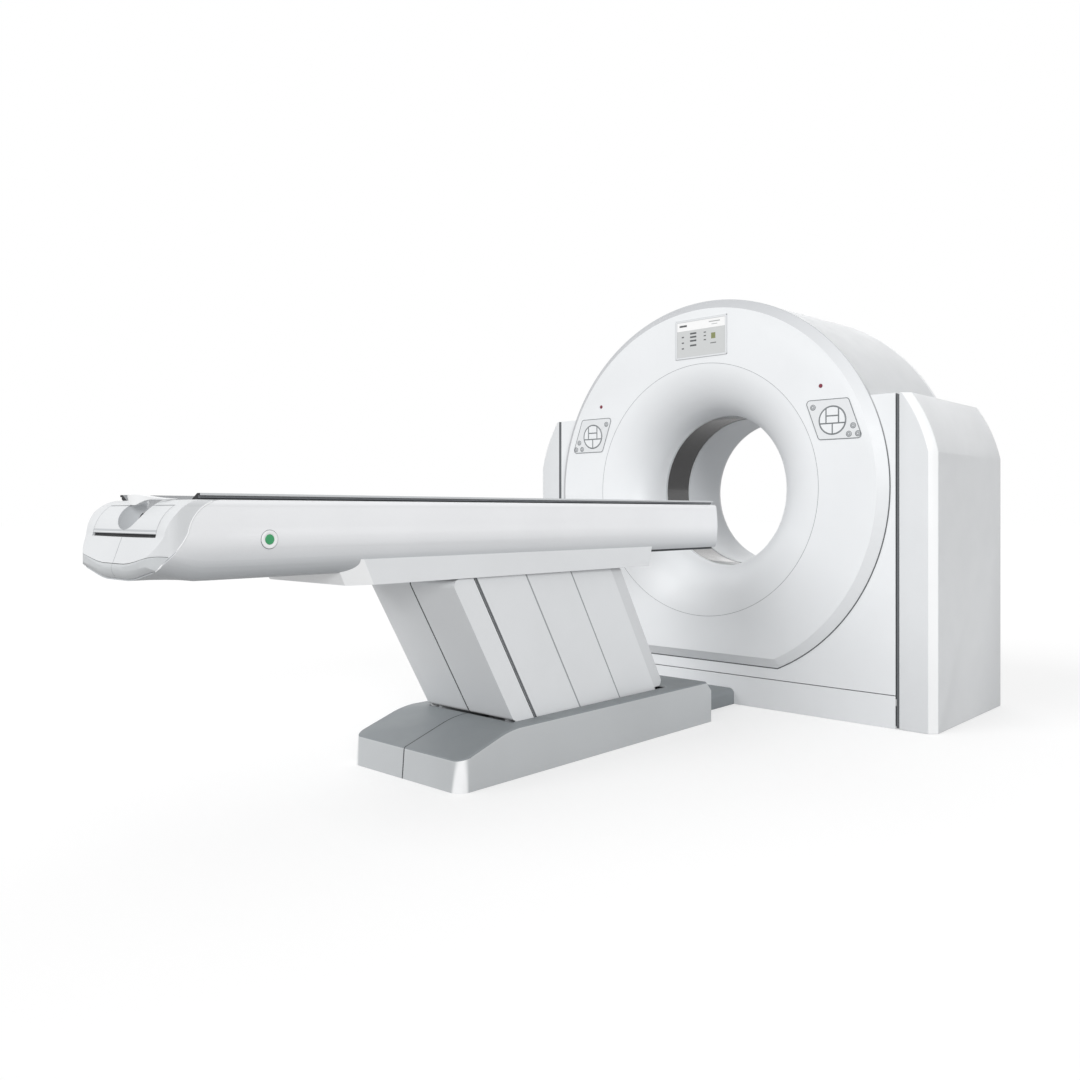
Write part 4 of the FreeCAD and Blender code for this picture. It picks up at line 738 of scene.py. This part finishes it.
# A ring of painted shadow behind the round cover's rim.
rim_shadow = spun_ring(band(RIM_SHADOW_INNER, CHEEK_RIM + RIM_SHADOW_LIP, FRONT_Y - 0.0012, FRONT_Y - 0.0001))
cut_away(rim_shadow, (0, 0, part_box("front_cover")[0][2] - RIM_SHADOW_LIP), (0, 0, -1))
add_piece("cover_rim_shadow", rim_shadow, rim_shadow_line, "tilting_body", "window_dark")
print(f"seam at a radius of {FUNNEL_EDGE:.3f}, gasket up to {CHEEK_RIM + RIM_SHADOW_LIP:.3f}")

# %% [markdown]
# Many seams and printed lines follow the edge of a face. Painted lines would need a mask for each. `edge_line`
# copies the wanted faces of a node instead, insets them, keeps the thin rim and lifts it a hair off the surface.

# %% Lines along the edges of faces
def keep_faces(form, wanted):
    bmesh.ops.delete(form, geom=[face for face in form.faces if not wanted(face)], context="FACES")
    return form.faces[:]


def lift(form, height):
    """Gives a loose surface a thickness outwards."""
    form.normal_update()
    shifts = {vert: vert.normal * height for vert in form.verts}
    raised = bmesh.ops.extrude_face_region(form, geom=form.faces[:])
    for vert in raised["geom"]:
        if isinstance(vert, bmesh.types.BMVert):
            nearest = min(shifts, key=lambda old: (old.co - vert.co).length_squared)
            vert.co += shifts[nearest]
    bmesh.ops.recalc_face_normals(form, faces=form.faces)


def inset(form, faces, width, **options):
    """The rim that an inset of even width leaves round the faces."""
    return bmesh.ops.inset_region(form, faces=faces, thickness=width, use_even_offset=True, use_boundary=True,
                                  **options)["faces"]


def edge_line(node, name, wanted, width, finish, height=0.0002, dropped=None):
    form = copy_of(node)
    rim = inset(form, keep_faces(form, wanted), width)
    kept = {face for face in rim if not (dropped and dropped(face))}
    keep_faces(form, kept.__contains__)
    lift(form, height)
    add_piece(name, form, finish, body_of(node), slot_of(node))


def faces_front(level):
    def wanted(face):
        return face.normal.y < -0.99 and abs(face.calc_center_median().y - level) < 1e-4
    return wanted

# %% [markdown]
# Each control panel is a flat pad with six white keys in a round field. The pad and each key have a grey line
# round them. Frames could be drawn for them, but the faces' own edges are exact.

# %% Control panels
PANEL_LINE = 0.0032
KEY_LINE = 0.0024
KEYS = ("key_outer", "key_inner", "key_up", "key_middle", "key_down_inner", "key_down_outer")
PANEL_FACE_Y = FACE_Y - 0.0015
for node in both("control_panel"):
    dressed(node, panel_grey, 0.0010)
    edge_line(node, node + "_lines", faces_front(PANEL_FACE_Y), PANEL_LINE, outline_grey)
for key in KEYS:
    for node in both(key):
        dressed(node, key_grey, 0.0006)
        edge_line(node, node + "_border", faces_front(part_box(node)[0][1]), KEY_LINE, outline_grey)
print("outlined panels and keys:", 2 + 2 * len(KEYS))

# %% [markdown]
# Four small round buttons on each pad are part of its solid. In the picture they are small grey marks. A full
# disc would look printed, so a broad grey ring lies on each button's face and leaves a pale middle.

# %% Round buttons
PANEL_LOW, PANEL_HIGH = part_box("control_panel_right")
PANEL_MIDDLE = ((PANEL_LOW[0] + PANEL_HIGH[0]) / 2, (PANEL_LOW[2] + PANEL_HIGH[2]) / 2)
ROUND_BUTTONS = ((-0.089, 0.052), (0.084, -0.031), (0.066, -0.064), (0.104, -0.064))
RING_RADIUS = 0.0080
RING_WIDTH = 0.0054


def button_mark(name, x, z):
    form = bmesh.new()
    bmesh.ops.create_circle(form, segments=28, radius=RING_RADIUS, cap_ends=True)
    keep_faces(form, set(inset(form, form.faces[:], RING_WIDTH)).__contains__)
    bmesh.ops.rotate(form, verts=form.verts, matrix=Matrix.Rotation(math.radians(90), 3, "X"))
    bmesh.ops.translate(form, verts=form.verts, vec=(x, PANEL_LOW[1], z))
    form.normal_update()
    for face in form.faces:
        if face.normal.y > 0:
            face.normal_flip()
    lift(form, 0.0003)
    add_piece(name, form, hairline_grey, "tilting_body", "panel_grey")


for number, (across, up) in enumerate(ROUND_BUTTONS, 1):
    x, z = PANEL_MIDDLE[0] + across, PANEL_MIDDLE[1] + up
    button_mark(f"panel_ring_{number}_right", x, z)
    button_mark(f"panel_ring_{number}_left", -x, z)
print("marks on round buttons:", 2 * len(ROUND_BUTTONS))

# %% [markdown]
# The display above the bore is a printed film behind glass: a white band over a grey field with small dark bars
# and one olive mark, and no lettering. An image would blur from near. So each bar is a mask, the product of two
# comparisons on Object coordinates, and stays sharp.

# %% Printed film
FRAME_WIDTH = 0.009
glass_low, glass_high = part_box("display")
DISPLAY_MIDDLE = Vector((0, 0, (glass_low[2] + glass_high[2]) / 2))
DISPLAY_HALF = [(glass_high[axis] - glass_low[axis]) / 2 - FRAME_WIDTH for axis in (0, 2)]
GLASS_Y = glass_low[1] + 0.0012


def printed_film(name):
    film = Finish(name)
    x, _, z = film.axes()
    z = z - DISPLAY_MIDDLE.z

    def patch(middle_x, middle_z, wide, high):
        across = (x - middle_x).absolute().below(wide / 2)
        return across * (z - middle_z).absolute().below(high / 2)

    def column(middle_x, rows, wide, high):
        total = 0.0
        for row in rows:
            total = total + patch(middle_x, row, wide, high)
        return total

    field = film.mix(z.above(DISPLAY_HALF[1] * 0.50), rgb(205, 207, 207), rgb(247, 247, 247))
    dark = (column(-0.096, (0.012, -0.014, -0.040), 0.012, 0.006)
            + column(0.022, (0.022, 0.006, -0.012), 0.012, 0.005)
            + column(-0.040, (0.024, 0.008, -0.009, -0.030), 0.034, 0.008) + patch(-0.094, 0.062, 0.040, 0.009))
    light = patch(0.072, 0.066, 0.058, 0.005) + patch(0.072, 0.054, 0.030, 0.003)
    inked = film.mix(dark, field, rgb(84, 86, 88))
    inked = film.mix(light, inked, rgb(176, 178, 178))
    inked = film.mix(patch(0.066, 0.002, 0.022, 0.026), inked, rgb(128, 134, 84))
    inked = film.mix(patch(0.066, -0.030, 0.030, 0.005), inked, rgb(120, 122, 122))
    return film.set(Base_Color=inked, Roughness=film.range(film.noise(30.0), 0.3, 0.7, 0.16, 0.24),
                    Coat_Weight=0.4)


display_film = printed_film("display_film")
print("nodes in the printed film:", len(display_film.tree.nodes))

# %% [markdown]
# The glass is a thin upright plate with round corners in the display's frame, which has a fine outline. The
# print could lie on the frame's own face, but a pane can be glossy where the frame is matt.

# %% Display
dressed("display", panel_grey, 0.001)
glass = plate((0, GLASS_Y - 0.0004, DISPLAY_MIDDLE.z), DISPLAY_HALF, 0.004, (0, 0.0003, 0), upright=True)
add_piece("display_glass", glass, display_film, "tilting_body", "display_grey")
edge_line("display", "display_outline", faces_front(glass_low[1]), 0.0016, rim_grey)
print(f"display glass: {2 * DISPLAY_HALF[0]:.3f} by {2 * DISPLAY_HALF[1]:.3f} m")

# %% [markdown]
# The table has a grey plinth whose top is darker than its sides and whose rounded corners have a painted
# highlight, a flat duct to the gantry, and a white skirt under the carriage whose foot end gets a painted
# highlight. Here too, a second material goes to faces by their direction.

# %% Plinth, duct and skirt
darker_top = second_where(lambda normal: normal.z > 0.35)
# The skirt's foot end gets a painted highlight.
foot_end_highlight = second_where(lambda normal: normal.y < -0.3)
for node in both("plinth_cover"):
    dressed(node, plinth_side, 0.003, 3, darker_top, (plinth_top,), 25.0)
dressed("carriage_skirt", cover_white, 0.005, 3, foot_end_highlight, (edge_highlight,))
dressed("floor_duct", plinth_top, 0.002)
dressed("green_button", button_green, 0.0008, 3)

# %% [markdown]
# The pedestal's slats lie one behind the other like a fan. A line is painted along each foot edge: painted
# shadow, dark on the first and grey on the others, and a painted highlight on the end cover. A strip laid on
# would stand proud, so the slat is cut there instead. Distances square to the lean are a dot product with
# `SQUARE`.

# %% Slats and pedestal covers
LEAN = math.radians(30)
SQUARE = Vector((0, math.cos(LEAN), math.sin(LEAN)))
PAINTED_EDGE_WIDTH = 0.0078


def edge_shade_and_highlight(form):
    outer = max(abs(vert.co.x) for vert in form.verts)
    edge = min(SQUARE.dot(vert.co) for vert in form.verts if abs(vert.co.x) > outer - 0.0005)
    limit = edge + PAINTED_EDGE_WIDTH
    sliced(form, SQUARE * limit, SQUARE)
    for face in form.faces:
        middle = face.calc_center_median()
        if abs(middle.x) > outer - 0.0005 and SQUARE.dot(middle) < limit:
            face.material_index = 1


# On the slats the line along the foot edge is painted shadow.
for number in (1, 2, 3):
    for node in both(f"side_slat_{number}"):
        dressed(node, pedestal_white, 0.0008, 2, edge_shade_and_highlight, (hairline_grey if number > 1 else groove_shade,))
# On the end cover it is a painted highlight.
for node in both("pedestal_cover_foot"):
    dressed(node, pedestal_white, 0.0045, 4, edge_shade_and_highlight, (edge_highlight,))
dressed("pedestal_cover_head", pedestal_shade, 0.002)
print(f"slats lean {math.degrees(LEAN):.0f} degrees, wipers are {1000 * PAINTED_EDGE_WIDTH:.1f} mm")

# %% [markdown]
# Where two halves of a cover meet, a dark rubber seal closes the slit. A straight strip wouldn't follow the
# bent wall. So the right half's cut face, a little larger all round, is drawn across the slit.

# %% Seals between cover halves
def seal(node, name, proud=0.0004, lip=0.0012):
    form = copy_of(node)
    gap = 2 * min(abs(vert.co.x) for vert in form.verts)
    region = keep_faces(form, lambda face: abs(face.normal.x) > 0.99
                        and abs(face.calc_center_median().x) < gap / 2 + 0.0005)
    inset(form, region, proud, use_outset=True)
    bmesh.ops.translate(form, verts=form.verts, vec=(lip, 0, 0))
    risen(form, (-gap - 2 * lip, 0, 0))
    add_piece(name, form, gasket_dark, body_of(node), slot_of(node))


seal("plinth_cover_right", "plinth_seal")
seal("pedestal_cover_foot_right", "pedestal_seal")
print("seals: plinth_seal, pedestal_seal")

# %% [markdown]
# The foot end of the table is a soft pillow: its lower front corners curl up. A lattice could bend each copy,
# but one field of lifts for the body, the cap and the band keeps their joints closed. First the forms are cut
# into a fine grid there, because a large flat face can't bend.

# %% Pillow form of the foot end
FOOT_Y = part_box("foot_bumper")[0][1]
PILLOW_END = FOOT_Y + 0.16
PILLOW_LIFT = 0.028
GRID = (
    (0, [side * x for x in (0.06, 0.09, 0.12, 0.15, 0.18, 0.21) for side in (-1, 1)]),
    (1, [FOOT_Y + step for step in (0.015, 0.035, 0.055, 0.075, 0.095, 0.12)]),
    (2, [0.70, 0.715, 0.73, 0.745, 0.76, 0.78]),
)


def smooth(value, start, end):
    t = min(1.0, max(0.0, (value - start) / (end - start)))
    return t * t * (3 - 2 * t)


def near_foot(form):
    verts = [vert for vert in form.verts if vert.co.y < PILLOW_END + 1e-5]
    chosen = set(verts)
    edges = [edge for edge in form.edges if all(vert in chosen for vert in edge.verts)]
    faces = [face for face in form.faces if all(vert in chosen for vert in face.verts)]
    return verts + edges + faces


def grid_cuts(form, axis, levels):
    normal = Matrix.Identity(3)[axis]
    for level in levels:
        bmesh.ops.bisect_plane(form, geom=near_foot(form), plane_co=normal * level, plane_no=normal)


def pillow(form):
    sliced(form, (0, PILLOW_END, 0), (0, 1, 0))
    for axis, levels in GRID:
        grid_cuts(form, axis, levels)
    for vert in form.verts:
        x, y, z = vert.co
        corner = smooth(abs(x), 0.05, 0.235) * smooth(y - FOOT_Y, 0.13, 0.01) * smooth(z, 0.80, 0.695)
        vert.co.z += PILLOW_LIFT * corner


dressed("table_body", table_white, 0.002, 3, pillow)
dressed("foot_bumper", bumper_grey, 0.0022, 3, pillow)
print("the foot end's corners rise by", 1000 * PILLOW_LIFT, "mm")

# %% [markdown]
# The hand hole is a deep bowl in the cap and in the hatch. Its faces are grey, with painted shadow under the
# grip's left root. A second material would end at a hard edge there, so the two greys are mixed by place.

# %% The bowl and its grey
BOWL = Vector((0, FOOT_Y + 0.057, 0.870))
BOWL_RADIUS = 0.070
SHADE_SLOPE = (0.184, 0.411)
SHADE_FROM, SHADE_TO = 0.866, 0.878


def painted_grip_shadow(finish):
    """Dark at the bowl's upper left, where the grip's root shades it."""
    x, y, z = finish.axes()
    height = z - x * SHADE_SLOPE[0] - (y - BOWL.y) * SHADE_SLOPE[1]
    return finish.range(height, SHADE_FROM, SHADE_TO, 0.0, 1.0)


# The second grey is painted shadow under the grip.
bowl_grey = moulded("bowl_grey", rgb(186, 189, 192), 0.45, second=rgb(46, 48, 50), amount=painted_grip_shadow)
print(f"bowl of {BOWL_RADIUS:.3f} m, {BOWL.z:.3f} m high")

# %% [markdown]
# Moving vertices inwards would crease the cap. So a Boolean modifier cuts a ball out of each copy, and the
# changed mesh goes back into the bmesh. The new faces lie one radius from the ball's middle.

# %% Hand hole
def bowl_cut(form):
    ball = bmesh.new()
    bmesh.ops.create_uvsphere(ball, u_segments=64, v_segments=40, radius=BOWL_RADIUS)
    bmesh.ops.translate(ball, verts=ball.verts, vec=BOWL)
    objects = []
    for name, source in (("bowl_ball", ball), ("bowl_target", form)):
        data = bpy.data.meshes.new(name)
        source.to_mesh(data)
        objects.append(bpy.data.objects.new(name, data))
        scene.collection.objects.link(objects[-1])
    ball.free()
    tool, target = objects
    cut = target.modifiers.new("bowl", "BOOLEAN")
    cut.operation = "DIFFERENCE"
    cut.object = tool
    cut.solver = "EXACT"
    bpy.context.view_layer.update()
    result = bpy.data.meshes.new_from_object(target.evaluated_get(bpy.context.evaluated_depsgraph_get()))
    form.clear()
    form.from_mesh(result)
    for one in objects:
        data = one.data
        bpy.data.objects.remove(one)
        bpy.data.meshes.remove(data)
    bpy.data.meshes.remove(result)
    bmesh.ops.remove_doubles(form, verts=form.verts, dist=MERGE)
    form.normal_update()
    for face in form.faces:
        middle = face.calc_center_median()
        in_bowl = abs((middle - BOWL).length - BOWL_RADIUS) < 0.002 and middle.y < BOWL.y + 0.055
        face.material_index = 1 if in_bowl else 0


def capped(form):
    bowl_cut(form)
    pillow(form)


dressed("foot_cap", cap_white, 0.0022, 3, capped, (bowl_grey,))
dressed("foot_hatch", cap_white, 0.001, 2, bowl_cut, (bowl_grey,))

# %% [markdown]
# Fine lines run over the foot end: a wide slot, drawn as a black strip of painted shade, the seams of the hatch
# and a seam down the middle. Flat strips wouldn't lie on the round cap, so they are cut out of its own surface
# with pairs of planes.

# %% Lines on the foot end
SEAM = (0, -0.0009, 0.0009)


def strip_of(node, name, limits, finish, height=0.0003):
    """A strip of a node's outer surface between limits given as (axis, low, high)."""
    form = copy_of(node)
    for axis, low, high in limits:
        normal = Matrix.Identity(3)[axis]
        for level in (low, high):
            sliced(form, normal * level, normal)

    def inside(face):
        middle = face.calc_center_median()
        return face.normal.y < -0.25 and all(low < middle[axis] < high for axis, low, high in limits)

    keep_faces(form, inside)
    pillow(form)
    lift(form, height)
    add_piece(name, form, finish, body_of(node), slot_of(node))


hatch_low, hatch_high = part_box("foot_hatch")
SLOT_TOP = hatch_low[2]
# The foot slot is a black strip of painted shade.
strip_of("foot_cap", "foot_slot", ((2, SLOT_TOP - 0.0088, SLOT_TOP - 0.0002), (0, hatch_low[0], hatch_high[0])),
         black_and_slot_shade)
strip_of("foot_cap", "foot_seam", (SEAM, (2, 0.70, SLOT_TOP - 0.0095)), hairline_grey)
strip_of("foot_bumper", "bumper_seam", (SEAM, (2, 0.69, 0.73)), hairline_grey, 0.0001)
edge_line("foot_hatch", "hatch_seam", lambda face: face.normal.y < -0.1, 0.0016, hairline_grey, 0.0001,
          dropped=lambda face: (face.calc_center_median() - BOWL).length < BOWL_RADIUS + 0.003)
print(f"foot slot: {hatch_high[0] - hatch_low[0]:.3f} m wide, {SLOT_TOP:.3f} m high")

# %% [markdown]
# The joint between the foot cap and the body is covered by a thin bright bead. Its path is the cap's own edge:
# the edges between the joint's faces and the outer side are collected and sorted upwards. A round curve is
# drawn through them and made a mesh, because a curve can't be bent by the same field as the covers.

# %% Bead along the joint
BEAD_RADIUS = 0.0019


def joint_path(side):
    points = {}
    for node in ("foot_bumper", "foot_cap"):
        form = copy_of(node)
        for edge in form.edges:
            faces = edge.link_faces
            joint = [f for f in faces if f.normal.y > 0.3 and abs(f.normal.x) < 0.02]
            outer = [f for f in faces if f.normal.x * side > 0.2 and abs(f.normal.y) < 0.2]
            if joint and outer and min(vert.co.x * side for vert in edge.verts) > 0.15:
                for vert in edge.verts:
                    points[round(vert.co.z, 5)] = vert.co.copy()
        form.free()
    return [points[z] for z in sorted(points)]


def bead(path, radius):
    line = bpy.data.curves.new("bead", "CURVE")
    line.dimensions = "3D"
    line.bevel_depth = radius
    line.bevel_resolution = 3
    line.use_fill_caps = True
    spline = line.splines.new("POLY")
    spline.points.add(len(path) - 1)
    for point, place in zip(spline.points, path):
        point.co = (*place, 1.0)
    holder = bpy.data.objects.new("bead", line)
    form = bmesh.new()
    form.from_mesh(bpy.data.meshes.new_from_object(holder))
    bpy.data.objects.remove(holder)
    bpy.data.curves.remove(line)
    return form


for name, side in (("right", 1), ("left", -1)):
    path = joint_path(side)
    print("bead on the", name, "side through", len(path), "points")
    form = bead([place + Vector((side * 0.0003, 0.0008, 0)) for place in path], BEAD_RADIUS)
    pillow(form)
    add_piece("foot_bead_" + name, form, handle_white, "carriage", "cover_white")

# %% [markdown]
# A dark rubber strip lies under the table's head part. It hangs a few millimetres below the table, so a dark
# face wouldn't do, and it is a thin plate with round corners.

# %% Strip under the head
HEAD_BOTTOM = 0.706
HEAD_HALF = 0.221
head_y = (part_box("carriage_skirt")[1][1] + 0.004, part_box("table_body")[1][1] - 0.006)
strip = lying_plate((-HEAD_HALF, head_y[0]), (HEAD_HALF, head_y[1]), 0.012, HEAD_BOTTOM - 0.008,
                    HEAD_BOTTOM + 0.0002)
add_piece("head_strip", strip, gasket_dark, "carriage", "cover_white", 0.001)
print(f"head strip: {head_y[1] - head_y[0]:.3f} m long")

# %% [markdown]
# The green button sits in a white dished ring with a fine dark line round it. A torus wouldn't have the dish, so
# both are turned like the rings of the bore, about the button's own axis.

# %% Button ring
TABLE_SIDE = 0.240
RING_SECTION = [(0.0138, 0.0005), (0.0142, 0.0022), (0.0170, 0.0034), (0.0205, 0.0036), (0.0228, 0.0026),
                (0.0236, 0.0002)]
button_low, button_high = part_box("green_button")
BUTTON = Vector((TABLE_SIDE, (button_low[1] + button_high[1]) / 2, (button_low[2] + button_high[2]) / 2))


def turned_on_side(section):
    """A ring about the button from (radius, height) points."""
    places = [(BUTTON.x + height, BUTTON.y + radius, BUTTON.z) for radius, height in section]
    return turned(places, BUTTON, (1, 0, 0), 64, 1e-6)


add_piece("button_ring", turned_on_side(RING_SECTION), handle_white, "carriage", "cover_white", 0.0004)
add_piece("button_line", turned_on_side(band(0.0236, 0.0246, -0.002, 0.0004)), line_grey, "carriage",
          "cover_white")
print("button at", tuple(BUTTON))

# %% [markdown]
# The cradle is a carbon trough with a light rim along its edges. Its foot end is open and dark. Deleting the
# solid's end faces would leave a thin shell, so the copy is cut behind the closed end, and the cut is closed and
# moved forward to where the end was.

# %% Cradle
CRADLE_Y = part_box("cradle")[0][1]
CRADLE_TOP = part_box("cradle")[1][2]
END_WALL = 0.0125
RIM_DEPTH = 0.0065


def open_trough(form):
    cut_away(form, (0, CRADLE_Y + END_WALL, 0), (0, -1, 0))
    for vert in form.verts:
        if vert.co.y < CRADLE_Y + END_WALL + 1e-5:
            vert.co.y = CRADLE_Y
    form.normal_update()
    for face in form.faces:
        if min(vert.co.z for vert in face.verts) > CRADLE_TOP - RIM_DEPTH:
            face.material_index = 1
        if face.normal.y < -0.9:
            face.material_index = 2


dressed("cradle", cradle_dark, 0.0010, 2, open_trough, (rim_grey, black_and_slot_shade))
print(f"cradle top at {CRADLE_TOP:.3f} m")

# %% [markdown]
# The grip is a crescent over the hand hole. It is tall in the middle, where it dips into the hole, and thin at
# its two tips, which meet the trough. A curve with a bevel would be as thick at the tips. So a short section is
# spun through an arc, and then each vertex gets its height from its distance to the middle.

# %% Grip
GRIP_HALF = 0.106
GRIP_DEPTH = 0.066
GRIP_RADIUS = (GRIP_HALF ** 2 + GRIP_DEPTH ** 2) / (2 * GRIP_DEPTH)
GRIP_TURN = math.asin(GRIP_HALF / GRIP_RADIUS)
GRIP_MIDDLE = Vector((0, CRADLE_Y + 0.002 - GRIP_DEPTH + GRIP_RADIUS, 0))
GRIP_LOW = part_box("pull_handle")[0][2]
GRIP_DIP = 0.014
TIP_HEIGHT = 0.0022
MIDDLE_RISE = 0.0118

form = bmesh.new()
section = [(0.0, 0.0), (-0.003, 1.0), (0.013, 1.0), (0.012, 0.0)]
start = Matrix.Rotation(-GRIP_TURN, 3, "Z")
places = [GRIP_MIDDLE + start @ Vector((0, off - GRIP_RADIUS, high)) for off, high in section]
face = form.faces.new([form.verts.new(place) for place in places])
bmesh.ops.spin(form, geom=[face], cent=GRIP_MIDDLE, axis=(0, 0, 1), angle=2 * GRIP_TURN, steps=40)
bmesh.ops.remove_doubles(form, verts=form.verts, dist=1e-6)
bmesh.ops.recalc_face_normals(form, faces=form.faces)
for vert in form.verts:
    x = abs(vert.co.x)
    low = GRIP_LOW - GRIP_DIP * smooth(x, 0.062, 0.004)
    top = GRIP_LOW + TIP_HEIGHT + MIDDLE_RISE * smooth(x, GRIP_HALF, 0.015)
    vert.co.z = low + vert.co.z * (top - low)
print("grip faces:", len(form.faces))
piece = add_piece("pull_handle_finished", form, handle_white, body_of("pull_handle"), slot_of("pull_handle"),
                  0.0025, 3)
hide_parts("pull_handle")

# %% [markdown]
# Small dark caps close the ends of the cradle's two rims. Plates with round corners are enough for them.

# %% Rim caps
CAP_HALF = 0.0075
CAP_LENGTH = 0.020
for name, side in (("right", 1), ("left", -1)):
    x = side * (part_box("cradle")[1][0] - 0.0085)
    low, high = (x - CAP_HALF, CRADLE_Y + 0.0004), (x + CAP_HALF, CRADLE_Y + CAP_LENGTH)
    cap = lying_plate(low, high, 0.003, CRADLE_TOP - 0.0062, CRADLE_TOP - 0.0001)
    add_piece("rim_cap_" + name, cap, black_and_slot_shade, "cradle", "cradle_dark", 0.0008)
print("rim caps:", 2 * CAP_HALF, "by", CAP_LENGTH, "m")

# %% [markdown]
# Inside the covers, the frames, links and drives are painted castings, and the rotor is bare metal. They hardly
# show, so their CAD meshes stay as they are and only get a finish.

# %% Carrying parts and rotor
INNER = {
    metal: ("rotor_ring", "xray_tube", "detector_array", "power_unit"),
    casting: ("gantry_stand", "tilt_drive", "tilt_frame", "table_base_frame", "lift_gearmotor", "link_foot",
              "link_head", "carriage_frame"),
}
for finish, nodes in INNER.items():
    for node in nodes:
        data = frame["nodes"][node].data
        data.materials.clear()
        data.materials.append(finish.material)
print("inner parts:", sum(len(nodes) for nodes in INNER.values()))

# %% Finish
low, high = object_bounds()
print("model box:", [round(v, 3) for v in (*low, *high)])
